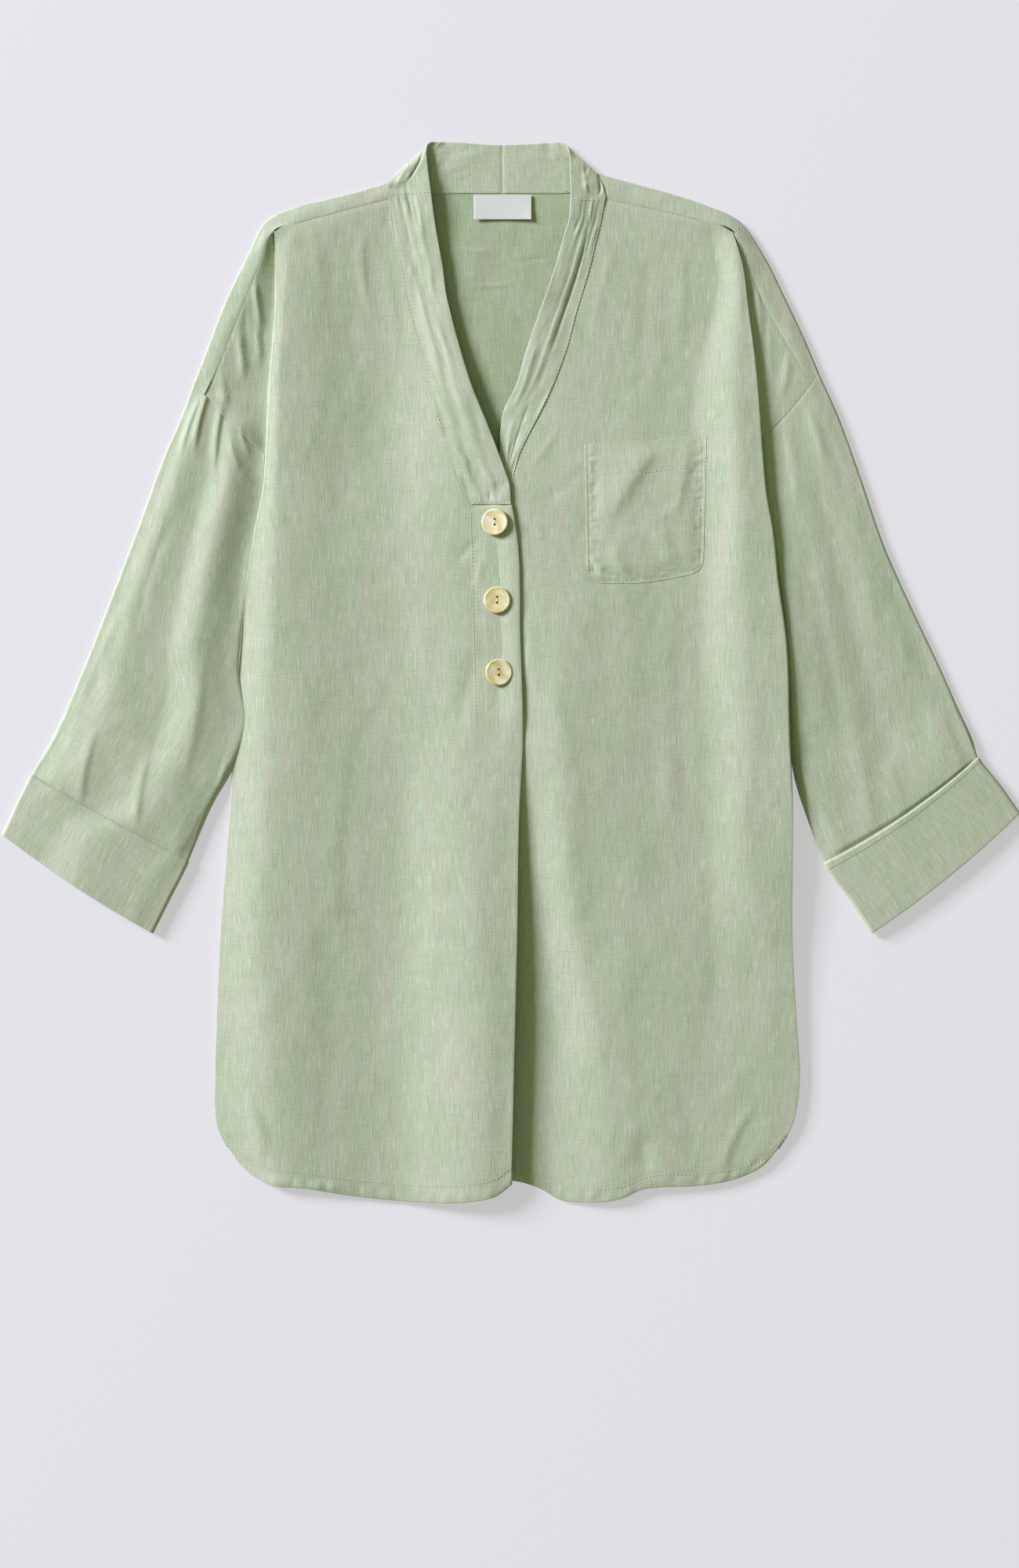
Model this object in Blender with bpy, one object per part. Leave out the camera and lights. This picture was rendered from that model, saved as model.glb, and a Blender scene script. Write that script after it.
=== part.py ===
"""A linen tunic top laid flat, face up, arms out.

Metres, +Z up. The table is z = 0, +Y runs from the hem to the collar and +X towards the
wearer's left. Sizes and tables below are in millimetres. Each piece of cloth is a surface,
worked out from its sections, that Solidify turns into a wall. The wearer's right front laps
over the left one, and below the buttons its edge runs on as the fold of a released pleat.
"""

import math

import bpy
import numpy as np

MM = 0.001
CLOTH = 1.0  # wall of one layer of cloth
BAND_CLOTH = 1.2  # wall of the doubled collar band
GAP = 0.4  # clearance between neighbouring pieces
BASE = 4.0  # height of the fronts' upper face where nothing lifts it
UNDERLAY = 2.5  # height of the left front's upper face below the lap
SIDE_ROLL = 3.0  # radius of the rounded fold down each side of the body
SIDE_FOOT = 2.3  # height at which the fronts end above the back's edge
SIDE_REACH = 26.0  # how far in from that fold the cloth rises towards it
LAP_REACH = 28.0  # how far in from the lap's edge the right front rises towards it
PLEAT_SLOPE = 9.0  # width of the step between the underlay and the pleat's crest
PLEAT_REACH = 34.0  # how far past its crest the pleat dies away
COLLAR_LIFT, COLLAR_REACH = 3.0, 15.0  # rise of the left front towards its band, and its width
NECK_OPENS, NECK_OPEN_RUN = 175.0, 60.0  # y where the lap ends at the neck, and the run of that
LIP = 4.4  # height of the dropped shoulder beside the body's fold
SEAM_ON_ARMHOLE = 0.16  # share of the armhole from the shoulder fold to the shoulder seam
FOLD = 1.9  # radius of the folds along the sleeves and the shoulders
SLEEVE_CROWN = 0.9  # how far the middle of a sleeve stands above its folds
SHOULDER_COLUMNS = 13  # points along a shoulder, shared by the pieces that meet at its seam
NECK_COLUMNS = 13
CENTRE_BACK = -7.0  # x of the seam that joins the halves of the back collar
BUTTON_DIAMETER = 21.0
BUTTON_THICKNESS = 2.6
BUTTON_HOLE = 1.9
BUTTON_HOLE_SPREAD = 4.2
LABEL_LEFT, LABEL_RIGHT = -29.0, 16.0
LABEL_TOP, LABEL_BOTTOM = 376.5, 357.5

LINEN = (0.418, 0.485, 0.352)
LINEN_INSIDE = (0.379, 0.442, 0.312)
SHELL = (0.76, 0.63, 0.35)
SATIN_WHITE = (0.74, 0.73, 0.76)


def table(names, *rows):
    """Named columns from rows of numbers."""
    return dict(zip(names.split(), np.array(rows, float).T))


# The body as it lies: how far each side's fold, the lap's edge and the bands' free edges are
# from the middle, and how far the cloth is lifted along the side folds and along the lap.
BODY = table(
    "y left right centre side_lift lap_lift",
    (-400, -204, 184, 0.0, 0.8, 7.5),
    (-363, -231, 220, 0.5, 1.6, 7.3),
    (-320, -234, 228, 2.0, 2.8, 7.0),
    (-285, -233, 226, 3.0, 3.5, 6.7),
    (-213, -230, 222, 4.5, 3.5, 6.0),
    (-106, -222, 222, 6.5, 3.5, 4.6),
    (-56, -219, 220, 9.0, 3.5, 4.0),
    (27, -213, 217, 7.0, 3.5, 3.5),
    (71, -209, 211, 5.5, 3.5, 3.5),
    (110, -203, 207, 4.0, 3.5, 3.5),
    (139, -197, 202, 0.0, 3.5, 3.5),
    (171, -194, 199, -6.0, 3.5, 3.3),
    (232, -190, 194, -34.0, 3.4, 3.0),
    (289, -186, 187, -50.0, 3.2, 3.0),
    (320, -186, 183, -54.5, 2.6, 3.0),
    (348, -187, 177, -60.0, 1.6, 3.0),
    (380, -187, 177, -64.0, 1.6, 3.0),
)
# The left front's neck edge under its band, and its underlay's edge below the lap.
LEFT_EDGE = table(
    "x y",
    (-28, -402),
    (-26, -300),
    (-22, -150),
    (-19, 0),
    (-18, 120),
    (-12, 150),
    (-5, 172),
    (-4, 190),
    (-1, 207),
    (9, 228),
    (18, 257),
    (28, 286),
    (39, 318),
    (47, 345),
    (52, 371),
)
RIGHT_EDGE = table(
    "x y",
    (0, -404),
    (2, -320),
    (4.5, -213),
    (6.5, -106),
    (9, -56),
    (7, 27),
    (4, 110),
    (-2, 141),
    (-9, 166),
    (-21, 195),
    (-37, 235),
    (-53, 292),
    (-57, 322),
    (-62, 352),
    (-67, 377),
)
# Pleat: the crest of the left front's fold, beside the lap's edge.
PLEAT = table(
    "y crest lift",
    (-402, 41, 3.6),
    (-311, 34, 3.4),
    (-222, 27, 3.0),
    (-106, 18, 2.2),
    (-34, 14, 1.2),
    (20, 16, 0.4),
    (130, 17, 0.0),
    (400, 17, 0.0),
)
HEM_RIGHT = table(
    "x y",
    (-225, -375),
    (-217, -386),
    (-204, -398),
    (-190, -404.5),
    (-163, -407.5),
    (-133, -412.5),
    (-106, -416),
    (-71, -418.4),
    (-36, -418),
    (-12, -413),
    (0, -404),
)
HEM_LEFT = table(
    "x y",
    (-28, -402),
    (10, -403.5),
    (24, -408.5),
    (38, -416.5),
    (56, -418.4),
    (72, -418.4),
    (88, -415.5),
    (104, -408.5),
    (120, -406.5),
    (142, -406),
    (167, -403),
    (183, -398.5),
    (198, -391),
    (212, -376),
)
# Shoulders, from the armhole up to the neck: the fold at the top of the garment, the seam
# on the front that the back wraps over to, and the height of the cloth at that seam.
SHOULDER_RIGHT = table(
    "fold_x fold_y seam_x seam_y seam_z",
    (-250.5, 229.6, -242.0, 225.2, 4.4),
    (-242.0, 251.0, -229.5, 245.0, 4.4),
    (-224.5, 296.0, -214.5, 282.5, 4.4),
    (-207.0, 331.5, -199.0, 321.0, 4.6),
    (-194.5, 355.5, -188.0, 347.5, 5.4),
    (-172.5, 366.5, -169.0, 354.0, 5.4),
    (-144.0, 374.0, -141.0, 361.5, 4.9),
    (-119.0, 380.5, -117.0, 368.0, 5.0),
    (-97.4, 387.6, -97.4, 373.5, 6.0),
)
SHOULDER_LEFT = table(
    "fold_x fold_y seam_x seam_y seam_z",
    (242.0, 237.0, 231.5, 232.5, 4.4),
    (233.0, 261.0, 219.0, 257.5, 4.4),
    (215.5, 298.0, 202.5, 286.0, 4.4),
    (200.5, 328.0, 188.5, 317.0, 4.6),
    (179.0, 357.0, 176.5, 347.0, 5.4),
    (154.0, 368.5, 152.0, 355.2, 5.4),
    (126.0, 377.9, 124.0, 362.3, 4.9),
    (102.0, 384.6, 100.0, 368.0, 5.0),
    (76.0, 391.8, 77.0, 373.2, 6.0),
)
# Sleeves, from the armhole seam to the mouth: outer fold, inner fold, how far the section
# bows towards the mouth, and how far along the sleeve it lies.
SLEEVE_RIGHT = table(
    "t outer_x outer_y inner_x inner_y bow",
    (0.00, -250.5, 229.0, -196.0, 170.5, 2.5),
    (0.10, -261.0, 201.0, -199.5, 134.0, 3.0),
    (0.20, -276.0, 166.0, -206.5, 98.0, 3.0),
    (0.32, -295.0, 114.0, -213.5, 50.0, 3.0),
    (0.45, -317.5, 55.0, -219.0, 0.0, 2.0),
    (0.57, -335.0, 10.0, -222.0, -42.0, 2.0),
    (0.68, -352.0, -30.0, -226.0, -80.0, 1.0),
    (0.78, -367.0, -60.0, -239.0, -112.0, 1.0),
    (0.84, -379.0, -81.5, -255.0, -150.0, 1.0),
    (0.92, -390.5, -104.5, -269.0, -178.0, 1.5),
    (1.00, -401.6, -128.5, -283.0, -206.0, 2.5),
)
SLEEVE_LEFT = table(
    "t outer_x outer_y inner_x inner_y bow",
    (0.00, 243.0, 236.5, 200.0, 184.0, 3.0),
    (0.10, 259.0, 201.0, 204.8, 134.0, 3.0),
    (0.20, 275.5, 156.0, 209.0, 98.0, 3.0),
    (0.32, 294.0, 102.0, 215.5, 50.0, 3.0),
    (0.45, 317.0, 50.0, 219.5, 0.0, 2.0),
    (0.57, 337.0, 8.0, 222.5, -42.0, 2.0),
    (0.68, 353.0, -28.0, 224.5, -80.0, 2.0),
    (0.78, 365.0, -54.0, 236.0, -116.0, 3.0),
    (0.84, 369.0, -67.5, 251.0, -152.0, 5.0),
    (0.92, 386.0, -89.5, 267.5, -179.0, 4.0),
    (1.00, 401.6, -111.5, 285.0, -206.0, 3.5),
)
CUFF_START = 0.84  # t at which the turned-up cuff covers the sleeve
# Soft ridges along a sleeve: where they start and end across (s) and along (t) it, their
# half width across it and their height.
SLEEVE_RIDGES = (
    (0.62, 0.02, 0.50, 0.80, 0.10, 1.2),
    (0.22, 0.04, 0.18, 0.82, 0.10, 1.1),
    (0.84, 0.25, 0.78, 0.98, 0.08, 1.0),
)
# Soft ridges on the fronts, in place: x and y of both ends, half width, height.
BODY_RIDGES = (
    (-68, 20, -66, -430, 20, 2.6),
    (-120, 330, -126, 60, 24, 1.0),
    (168, 350, 174, -160, 20, 2.4),
    (106, -120, 112, -430, 26, 1.0),
)
# Collar: the band's seam edge and free edge, section by section, on its outer face.
BAND_RIGHT = table(
    "seam_x seam_y seam_z free_x free_y free_z",
    (-31.5, 131.8, 8.4, -0.5, 131.8, 10.2),
    (-39.0, 147.0, 7.4, -1.5, 147.0, 10.4),
    (-46.0, 164.5, 6.8, -6.0, 161.0, 10.4),
    (-56.0, 191.5, 6.2, -17.5, 191.5, 10.4),
    (-66.5, 233.5, 6.2, -34.0, 233.5, 10.6),
    (-82.5, 291.0, 6.2, -50.0, 291.0, 11.0),
    (-88.0, 321.0, 6.6, -54.5, 321.0, 11.4),
    (-95.0, 352.0, 7.4, -60.0, 352.0, 11.8),
    (-96.5, 379.7, 8.4, -64.0, 381.7, 11.8),
)
BAND_LEFT = table(
    "seam_x seam_y seam_z free_x free_y free_z",
    (12.0, 129.2, 4.2, -16.5, 129.2, 4.2),
    (10.0, 147.0, 4.4, -12.5, 147.0, 4.4),
    (9.0, 167.5, 5.2, -7.5, 170.0, 5.0),
    (14.5, 186.0, 6.0, -8.0, 190.5, 6.4),
    (23.0, 204.5, 6.2, -5.0, 207.5, 7.8),
    (33.5, 226.5, 6.2, 4.5, 226.5, 9.2),
    (44.5, 255.5, 6.2, 13.0, 255.5, 10.2),
    (52.0, 284.0, 6.2, 23.0, 284.0, 10.8),
    (61.5, 315.0, 6.4, 34.0, 315.5, 11.2),
    (68.0, 341.5, 7.0, 42.0, 343.0, 11.6),
    (71.0, 356.0, 7.6, 46.0, 356.0, 11.8),
    (75.0, 375.2, 8.4, 47.5, 375.7, 11.8),
)
STAND_RIGHT = table(
    "seam_x seam_y seam_z free_x free_y free_z",
    (-96.5, 380.3, 8.4, -64.0, 382.3, 11.8),
    (-96.5, 384.5, 7.8, -66.0, 398.0, 11.2),
    (-96.0, 387.4, 6.0, -67.0, 411.0, 9.0),
    (-94.5, 389.2, 3.6, -65.0, 418.0, 4.8),
    (-90.5, 388.4, 1.2, -60.0, 418.5, 1.4),
    (-82.0, 383.6, 0.0, -52.0, 418.5, 0.0),
    (-66.0, 378.6, 0.0, -40.0, 418.0, 0.0),
    (-36.0, 378.4, 0.0, -23.0, 416.7, 0.0),
    (CENTRE_BACK - 0.2, 378.4, 0.0, CENTRE_BACK - 0.2, 416.0, 0.0),
)
STAND_LEFT = table(
    "seam_x seam_y seam_z free_x free_y free_z",
    (75.0, 375.8, 8.4, 47.5, 376.3, 11.8),
    (74.8, 384.0, 7.6, 47.0, 393.5, 11.2),
    (74.0, 389.8, 6.0, 46.5, 408.0, 9.0),
    (71.0, 393.4, 3.6, 44.0, 416.0, 4.8),
    (66.0, 392.4, 1.2, 40.0, 418.0, 1.4),
    (58.0, 385.8, 0.0, 32.0, 418.0, 0.0),
    (46.0, 378.8, 0.0, 22.0, 417.3, 0.0),
    (18.0, 378.4, 0.0, 8.0, 416.6, 0.0),
    (CENTRE_BACK + 0.2, 378.4, 0.0, CENTRE_BACK + 0.2, 416.0, 0.0),
)
# The back's neck seam, from the right shoulder to the left one.
NECK = table(
    "x y",
    (-97.4, 387.2),
    (-92.5, 386.4),
    (-83.5, 381.6),
    (-66.5, 377.8),
    (-50.0, 377.8),
    (-30.0, 377.8),
    (-7.0, 377.8),
    (12.0, 377.8),
    (30.0, 377.8),
    (43.0, 377.4),
    (58.0, 382.8),
    (67.0, 389.6),
    (76.0, 391.0),
)
POCKET_TOP, POCKET_BOTTOM = 183.5, 69.5
POCKET_TOP_LEFT, POCKET_TOP_RIGHT = 59.0, 154.5
POCKET_LOW_LEFT, POCKET_LOW_RIGHT = 58.0, 152.0
POCKET_CORNER = 14.0
# Buttons, top to bottom: place, and how far each tips about the garment's length.
BUTTONS = table("x y tip", (-12.7, 117.8, -12), (-10.9, 56.4, -2), (-9.6, -0.6, 2))


def smoothstep(t):
    t = np.clip(t, 0, 1)
    return t * t * (3 - 2 * t)


def spline(knots, values, at):
    """Smooth curve through values (rows) at knots: cubic Hermite with averaged slopes."""
    values = np.asarray(values, float)
    values = values.reshape(len(knots), -1)
    slopes = np.gradient(values, knots, axis=0)
    at = np.asarray(at, float)
    i = np.clip(np.searchsorted(knots, at, side="right") - 1, 0, len(knots) - 2)
    step = (knots[i + 1] - knots[i])[..., None]
    t = ((at - knots[i]) / (knots[i + 1] - knots[i]))[..., None]
    start = values[i] * (2 * t**3 - 3 * t**2 + 1) + slopes[i] * step * (t**3 - 2 * t**2 + t)
    return start + values[i + 1] * (3 * t**2 - 2 * t**3) + slopes[i + 1] * step * (t**3 - t**2)


def curve(x, y):
    """A smooth curve through the points, as a function of 0..1 along its length."""
    points = np.column_stack([x, y])
    lengths = np.linalg.norm(np.diff(points, axis=0), axis=1)
    knots = np.concatenate([[0], np.cumsum(lengths)]) / lengths.sum()
    return lambda t: spline(knots, points, t)


def joined(first, second, at):
    """One function of 0..1 that follows first up to at and second after it."""

    def both(t):
        t = np.asarray(t, float)
        low = first(np.clip(t / at, 0, 1))
        high = second(np.clip((t - at) / (1 - at), 0, 1))
        return np.where((t < at)[..., None], low, high)

    return both


def coons(bottom, top, left, right, u, v):
    """The patch between four edge curves, at the grid u, v."""
    corner = bottom(0.0), bottom(1.0), top(0.0), top(1.0)
    a, b = u[..., None], v[..., None]
    sides = (1 - b) * bottom(u) + b * top(u) + (1 - a) * left(v) + a * right(v)
    low = (1 - b) * ((1 - a) * corner[0] + a * corner[1])
    return sides - low - b * ((1 - a) * corner[2] + a * corner[3])


def ridges(rows, x, y):
    """Height of the soft ridges at x, y: a bell across each line, fading at both ends."""
    height = np.zeros(np.shape(x))
    for x0, y0, x1, y1, half_width, lift in rows:
        run = np.array([x1 - x0, y1 - y0], float)
        length = np.hypot(*run)
        along = ((x - x0) * run[0] + (y - y0) * run[1]) / length**2
        across = ((x - x0) * run[1] - (y - y0) * run[0]) / length
        fade = smoothstep(along / 0.3) * smoothstep((1 - along) / 0.2)
        height = height + lift * fade * np.exp(-((across / half_width) ** 2))
    return height


def side_lift(side, x, y):
    """Rise of the cloth towards the rounded fold down the given side of the body."""
    near = x - np.interp(y, BODY["y"], BODY[side])
    return np.interp(y, BODY["y"], BODY["side_lift"]) * np.exp(-((near / SIDE_REACH) ** 2))


def front_right_height(x, y):
    near = x - np.interp(y, BODY["y"], BODY["centre"])
    lap = np.interp(y, BODY["y"], BODY["lap_lift"]) * np.exp(-((near / LAP_REACH) ** 2))
    return BASE + side_lift("left", x, y) + lap + ridges(BODY_RIDGES, x, y)


def front_left_height(x, y):
    """Low below the lap, a step up to the pleat's crest, then the front's own level."""
    crest = np.interp(y, PLEAT["y"], PLEAT["crest"])
    neck = spline(LEFT_EDGE["y"], LEFT_EDGE["x"], np.clip(y, 130, LEFT_EDGE["y"][-1]))[..., 0]
    opened = smoothstep((y - NECK_OPENS) / NECK_OPEN_RUN)
    step = smoothstep((x - crest) / PLEAT_SLOPE + 1)
    level = UNDERLAY + (BASE - UNDERLAY) * np.maximum(step, opened)
    fold = np.interp(y, PLEAT["y"], PLEAT["lift"]) * step
    fold = fold * np.exp(-((np.maximum(x - crest, 0) / PLEAT_REACH) ** 2))
    collar = COLLAR_LIFT * opened * np.exp(-(((x - neck) / COLLAR_REACH) ** 2))
    return level + fold + collar + side_lift("right", x, y) + ridges(BODY_RIDGES, x, y)


def armhole(sleeve, s, towards_body=0.0):
    """The armhole seam from the shoulder fold (s = 0) to the underarm (s = 1)."""
    return section_line(sleeve, 0.0, s) - towards_body * section_way(sleeve, 0.0)


def section_ends(sleeve, t):
    columns = ("outer_x", "outer_y", "inner_x", "inner_y", "bow")
    row = spline(sleeve["t"], np.column_stack([sleeve[c] for c in columns]), np.array([t]))[0]
    return row[:2], row[2:4], row[4]


def section_way(sleeve, t):
    """Unit vector along the table, square to the section and towards the sleeve's mouth."""
    outer, inner, _ = section_ends(sleeve, t)
    across = (inner - outer) / np.linalg.norm(inner - outer)
    way = np.array([across[1], -across[0]])
    return way if way[1] < 0 else -way


def section_line(sleeve, t, s):
    """Points across the sleeve at t: straight from fold to fold, bowed towards the mouth."""
    outer, inner, bow = section_ends(sleeve, t)
    s = np.asarray(s, float)[..., None]
    return outer + s * (inner - outer) + 4 * bow * s * (1 - s) * section_way(sleeve, t)


def side_roll(y):
    """Radius of the fold down the body's side: it flattens towards the hem."""
    return SIDE_ROLL * (0.2 + 0.8 * smoothstep((y + 378) / 55))


def shoulder_seam(shoulder, sleeve, t):
    """The forward shoulder seam: armhole at 0, shoulder's corner at a half, neck at 1."""
    points = np.column_stack([shoulder["seam_x"], shoulder["seam_y"], shoulder["seam_z"]])
    points[0, :2] = armhole(sleeve, SEAM_ON_ARMHOLE, GAP)
    return spline(np.linspace(0, 1, len(points)), points, t)


def front_surface(side):
    """A front's upper face, from the lap to the side fold, down it and out to the armhole."""
    right = side == "right"
    edge_name, sign = ("left", -1) if right else ("right", 1)
    sleeve = SLEEVE_RIGHT if right else SLEEVE_LEFT
    shoulder = SHOULDER_RIGHT if right else SHOULDER_LEFT
    hem = HEM_RIGHT if right else HEM_LEFT
    inner = RIGHT_EDGE if right else LEFT_EDGE
    height = front_right_height if right else front_left_height
    underarm = sleeve["inner_y"][0]
    underarm_v = 0.73  # share of the rows that lie below the underarm
    clear = 3 * GAP

    hem_x, hem_y = (hem["x"][::-1], hem["y"][::-1]) if right else (hem["x"], hem["y"])
    rows = (BODY["y"] > hem_y[-1] + 5) & (BODY["y"] < underarm - 5)
    fold_x = BODY[edge_name] - sign * side_roll(BODY["y"])
    underarm_x = np.interp(underarm, BODY["y"], fold_x)
    corner_x = hem_x[-1] - sign * side_roll(hem_y[-1])
    low = curve(
        np.concatenate([[corner_x], fold_x[rows], [underarm_x]]),
        np.concatenate([[hem_y[-1]], BODY["y"][rows], [underarm]]),
    )
    seam = shoulder_seam(shoulder, sleeve, np.linspace(1, 0.5, SHOULDER_COLUMNS // 2 + 1))
    corner = seam[-1, :2] - [sign * SIDE_ROLL, clear]
    rows = (BODY["y"] > underarm + 5) & (BODY["y"] < corner[1] - 5)
    high = curve(
        np.concatenate([[underarm_x], fold_x[rows], [corner[0]]]),
        np.concatenate([[underarm], BODY["y"][rows], [corner[1]]]),
    )
    neck_x = np.concatenate([[inner["x"][-1]], seam[:-1, 0], [corner[0]]])
    neck_y = np.concatenate([[inner["y"][-1]], seam[:-1, 1] - clear, [corner[1]]])

    v = np.concatenate([np.linspace(0, underarm_v, 16)[:-1], np.linspace(underarm_v, 1, 9)])
    if right:
        u = 1 - np.linspace(1, 0, 15) ** 1.3
        u_grid, v_grid = np.meshgrid(u, v)
    else:
        u_grid, v_grid = pleat_columns(v)
    flat = coons(
        curve(np.append(hem_x[:-1], corner_x), hem_y),
        curve(neck_x, neck_y),
        curve(inner["x"], inner["y"]),
        joined(low, high, underarm_v),
        u_grid,
        v_grid,
    )
    main = np.dstack([flat, height(flat[..., 0], flat[..., 1])])

    crest = main[:, -1]
    turns = np.radians([30, 60, 90])
    foot = np.interp(crest[:, 1], [underarm, underarm + 15], [BASE - 0.8, LIP])
    drop = crest[:, 2] - foot
    run = np.gradient(crest[:, :2], axis=0)
    out = sign * np.column_stack([run[:, 1], -run[:, 0]])
    out = out * (side_roll(crest[:, 1]) / np.linalg.norm(out, axis=1))[:, None]
    roll = [
        np.column_stack([crest[:, :2] + out * math.sin(a), crest[:, 2] - drop * (1 - math.cos(a))])
        for a in turns
    ]
    ends = lip_ends(shoulder, sleeve, roll[-1])
    ends[:, 2] = np.where(crest[:, 1] > underarm + 1, LIP, SIDE_FOOT)
    lip = [roll[-1] + (ends - roll[-1]) * f for f in (0.3, 0.65, 1.0)]
    return np.concatenate([main, np.stack(roll + lip, axis=1)], axis=1)


def pleat_columns(v):
    """Columns of the left front's grid: they gather on the step up to the pleat's crest."""
    share = spline(np.array([0, 0.25, 0.5, 0.75, 1]), [0.29, 0.23, 0.15, 0.1, 0.1], v)
    steps = np.array([0, 0.55, 0.8, 1.0])
    beyond = np.linspace(0, 1, 12)[1:] ** 1.05
    low = steps[None] * share
    high = share + beyond[None] * (1 - share)
    u = np.concatenate([low, high], axis=1)
    return u, np.repeat(v[:, None], u.shape[1], axis=1)


def lip_ends(shoulder, sleeve, foot):
    """Where each row of a front ends: at its foot, the armhole seam or the shoulder seam."""
    line = shoulder_seam(shoulder, sleeve, np.linspace(0, 0.5, SHOULDER_COLUMNS // 2 + 1))
    underarm, turn, top = sleeve["inner_y"][0], line[0, 1], line[-1, 1]
    s = np.interp(foot[:, 1], [underarm, turn], [0.97, SEAM_ON_ARMHOLE])
    ends = armhole(sleeve, s, GAP)
    seam = np.column_stack([np.interp(foot[:, 1], line[:, 1], line[:, 0]), foot[:, 1]])
    seam[:, 0] -= np.sign(seam[:, 0]) * 1.5 * GAP
    ends = np.where((foot[:, 1] > turn)[:, None], seam, ends)
    ends[np.abs(foot[:, 1] - turn).argmin()] = line[0, :2] - [np.sign(line[0, 0]) * GAP, GAP]
    level = (foot[:, 1] <= underarm + 1) | (foot[:, 1] >= top - GAP - 1)
    ends = np.where(level[:, None], foot[:, :2] + [np.sign(line[0, 0]) * 0.2, 0], ends)
    return np.column_stack([ends, np.zeros(len(ends))])


def inward(line):
    """Unit vectors square to a line that runs along the top of the garment, into the cloth."""
    run = np.gradient(line, axis=0)
    return np.column_stack([run[:, 1], -run[:, 0]]) / np.linalg.norm(run, axis=1)[:, None]


def back_surface():
    """The back's outer face: flat on the table, then round each shoulder to its seam."""
    share = 0.78  # of the rows, below the underarm
    hem_x = np.concatenate([HEM_RIGHT["x"][:-3] + 2, [-22, 5], HEM_LEFT["x"][3:] - 2])
    hem_y = np.concatenate([HEM_RIGHT["y"][:-3], [-409, -403], HEM_LEFT["y"][3:]]) + 3.5
    sides = []
    for name, sleeve, end, sign in (
        ("left", SLEEVE_RIGHT, 0, 1),
        ("right", SLEEVE_LEFT, -1, -1),
    ):
        underarm = armhole(sleeve, 1.0, GAP) + [sign * 1.0, 0]
        rows = (BODY["y"] > hem_y[end] + 5) & (BODY["y"] < underarm[1] - 5)
        side = curve(
            np.concatenate([[hem_x[end]], BODY[name][rows] + sign * 2, [underarm[0]]]),
            np.concatenate([[hem_y[end]], BODY["y"][rows], [underarm[1]]]),
        )
        seam = armhole(sleeve, np.linspace(1, 0, 5), GAP)
        sides.append(joined(side, curve(seam[:, 0], seam[:, 1]), share))
    right_fold = np.column_stack([SHOULDER_RIGHT["fold_x"], SHOULDER_RIGHT["fold_y"]])
    left_fold = np.column_stack([SHOULDER_LEFT["fold_x"], SHOULDER_LEFT["fold_y"]])[::-1]
    right_fold += FOLD * inward(right_fold)
    left_fold += FOLD * inward(left_fold)
    right_fold[0] = sides[0](np.array(1.0))
    left_fold[-1] = sides[1](np.array(1.0))
    neck = np.column_stack([NECK["x"], NECK["y"]])
    neck[0], neck[-1] = right_fold[-1], left_fold[0]
    along_shoulder = np.linspace(0, 1, SHOULDER_COLUMNS)
    top = np.concatenate(
        [
            curve(*right_fold.T)(along_shoulder),
            curve(*neck.T)(np.linspace(0, 1, NECK_COLUMNS))[1:-1],
            curve(*left_fold.T)(along_shoulder),
        ]
    )
    share_across = np.linspace(0, 1, len(top))
    u, v = np.meshgrid(
        share_across,
        np.concatenate([np.linspace(0, share, 12)[:-1], np.linspace(share, 1, 7)]),
    )
    flat = coons(
        curve(hem_x, hem_y),
        lambda t: np.stack([np.interp(t, share_across, c) for c in top.T], axis=-1),
        sides[0],
        sides[1],
        u,
        v,
    )
    sheet = np.dstack([flat, np.zeros(flat.shape[:2])])
    strips = [
        shoulder_strip(SHOULDER_RIGHT, SLEEVE_RIGHT, sheet[-1, :SHOULDER_COLUMNS], False),
        shoulder_strip(SHOULDER_LEFT, SLEEVE_LEFT, sheet[-1, -SHOULDER_COLUMNS:], True),
    ]
    return sheet, strips


def shoulder_strip(shoulder, sleeve, edge, flipped):
    """Rows that carry the back's edge up round the shoulder fold and down to the seam."""
    at = np.linspace(0, 1, len(edge))
    seam = shoulder_seam(shoulder, sleeve, at[::-1] if flipped else at)
    outward = -inward(edge[:, :2])
    rows = []
    for angle in np.radians([45, 90, 135, 180]):
        out = edge[:, :2] + FOLD * math.sin(angle) * outward
        rows.append(np.column_stack([out, np.full(len(out), FOLD * (1 - math.cos(angle)))]))
    top = rows[-1]
    rows.append(top + (seam - top) * 0.5)
    rows.append(seam)
    return np.stack(rows)


def sleeve_bump(s, t):
    """How far the sleeve's upper layer stands above its folds."""
    crown = SLEEVE_CROWN * (1 - np.abs(2 * s - 1) ** 4)
    ends = smoothstep(np.minimum(s, 1 - s) / 0.12)
    return crown + ends * ridges(SLEEVE_RIDGES, s, np.full(np.shape(s), t))


def sleeve_ring(sleeve, t, grow):
    """One section of the flattened tube, grown outwards by grow; it starts at the outer fold
    and runs along the lower layer, round the inner fold and back along the upper layer."""
    outer, inner, _ = section_ends(sleeve, t)
    length = np.linalg.norm(inner - outer)
    way = (inner - outer) / length
    radius = FOLD + grow
    lift = (CLOTH + GAP) * smoothstep((t - CUFF_START + 0.07) / 0.05) - grow
    margin = FOLD / length
    low = np.linspace(margin, 1 - margin, 5)
    high = np.linspace(1 - margin, margin, 13)
    turns = np.radians([45, 90, 135])
    points = [np.column_stack([section_line(sleeve, t, low), np.full(len(low), lift)])]
    for end, sign in ((1 - margin, 1), (margin, -1)):
        centre = section_line(sleeve, t, np.array([end]))[0]
        for turn in turns if sign > 0 else turns[::-1]:
            where = centre + sign * way * radius * math.sin(turn)
            points.append([[*where, lift + radius * (1 - math.cos(turn))]])
        if sign > 0:
            top = lift + 2 * radius + sleeve_bump(high, t)
            points.append(np.column_stack([section_line(sleeve, t, high), top]))
    return np.concatenate(points)


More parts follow.
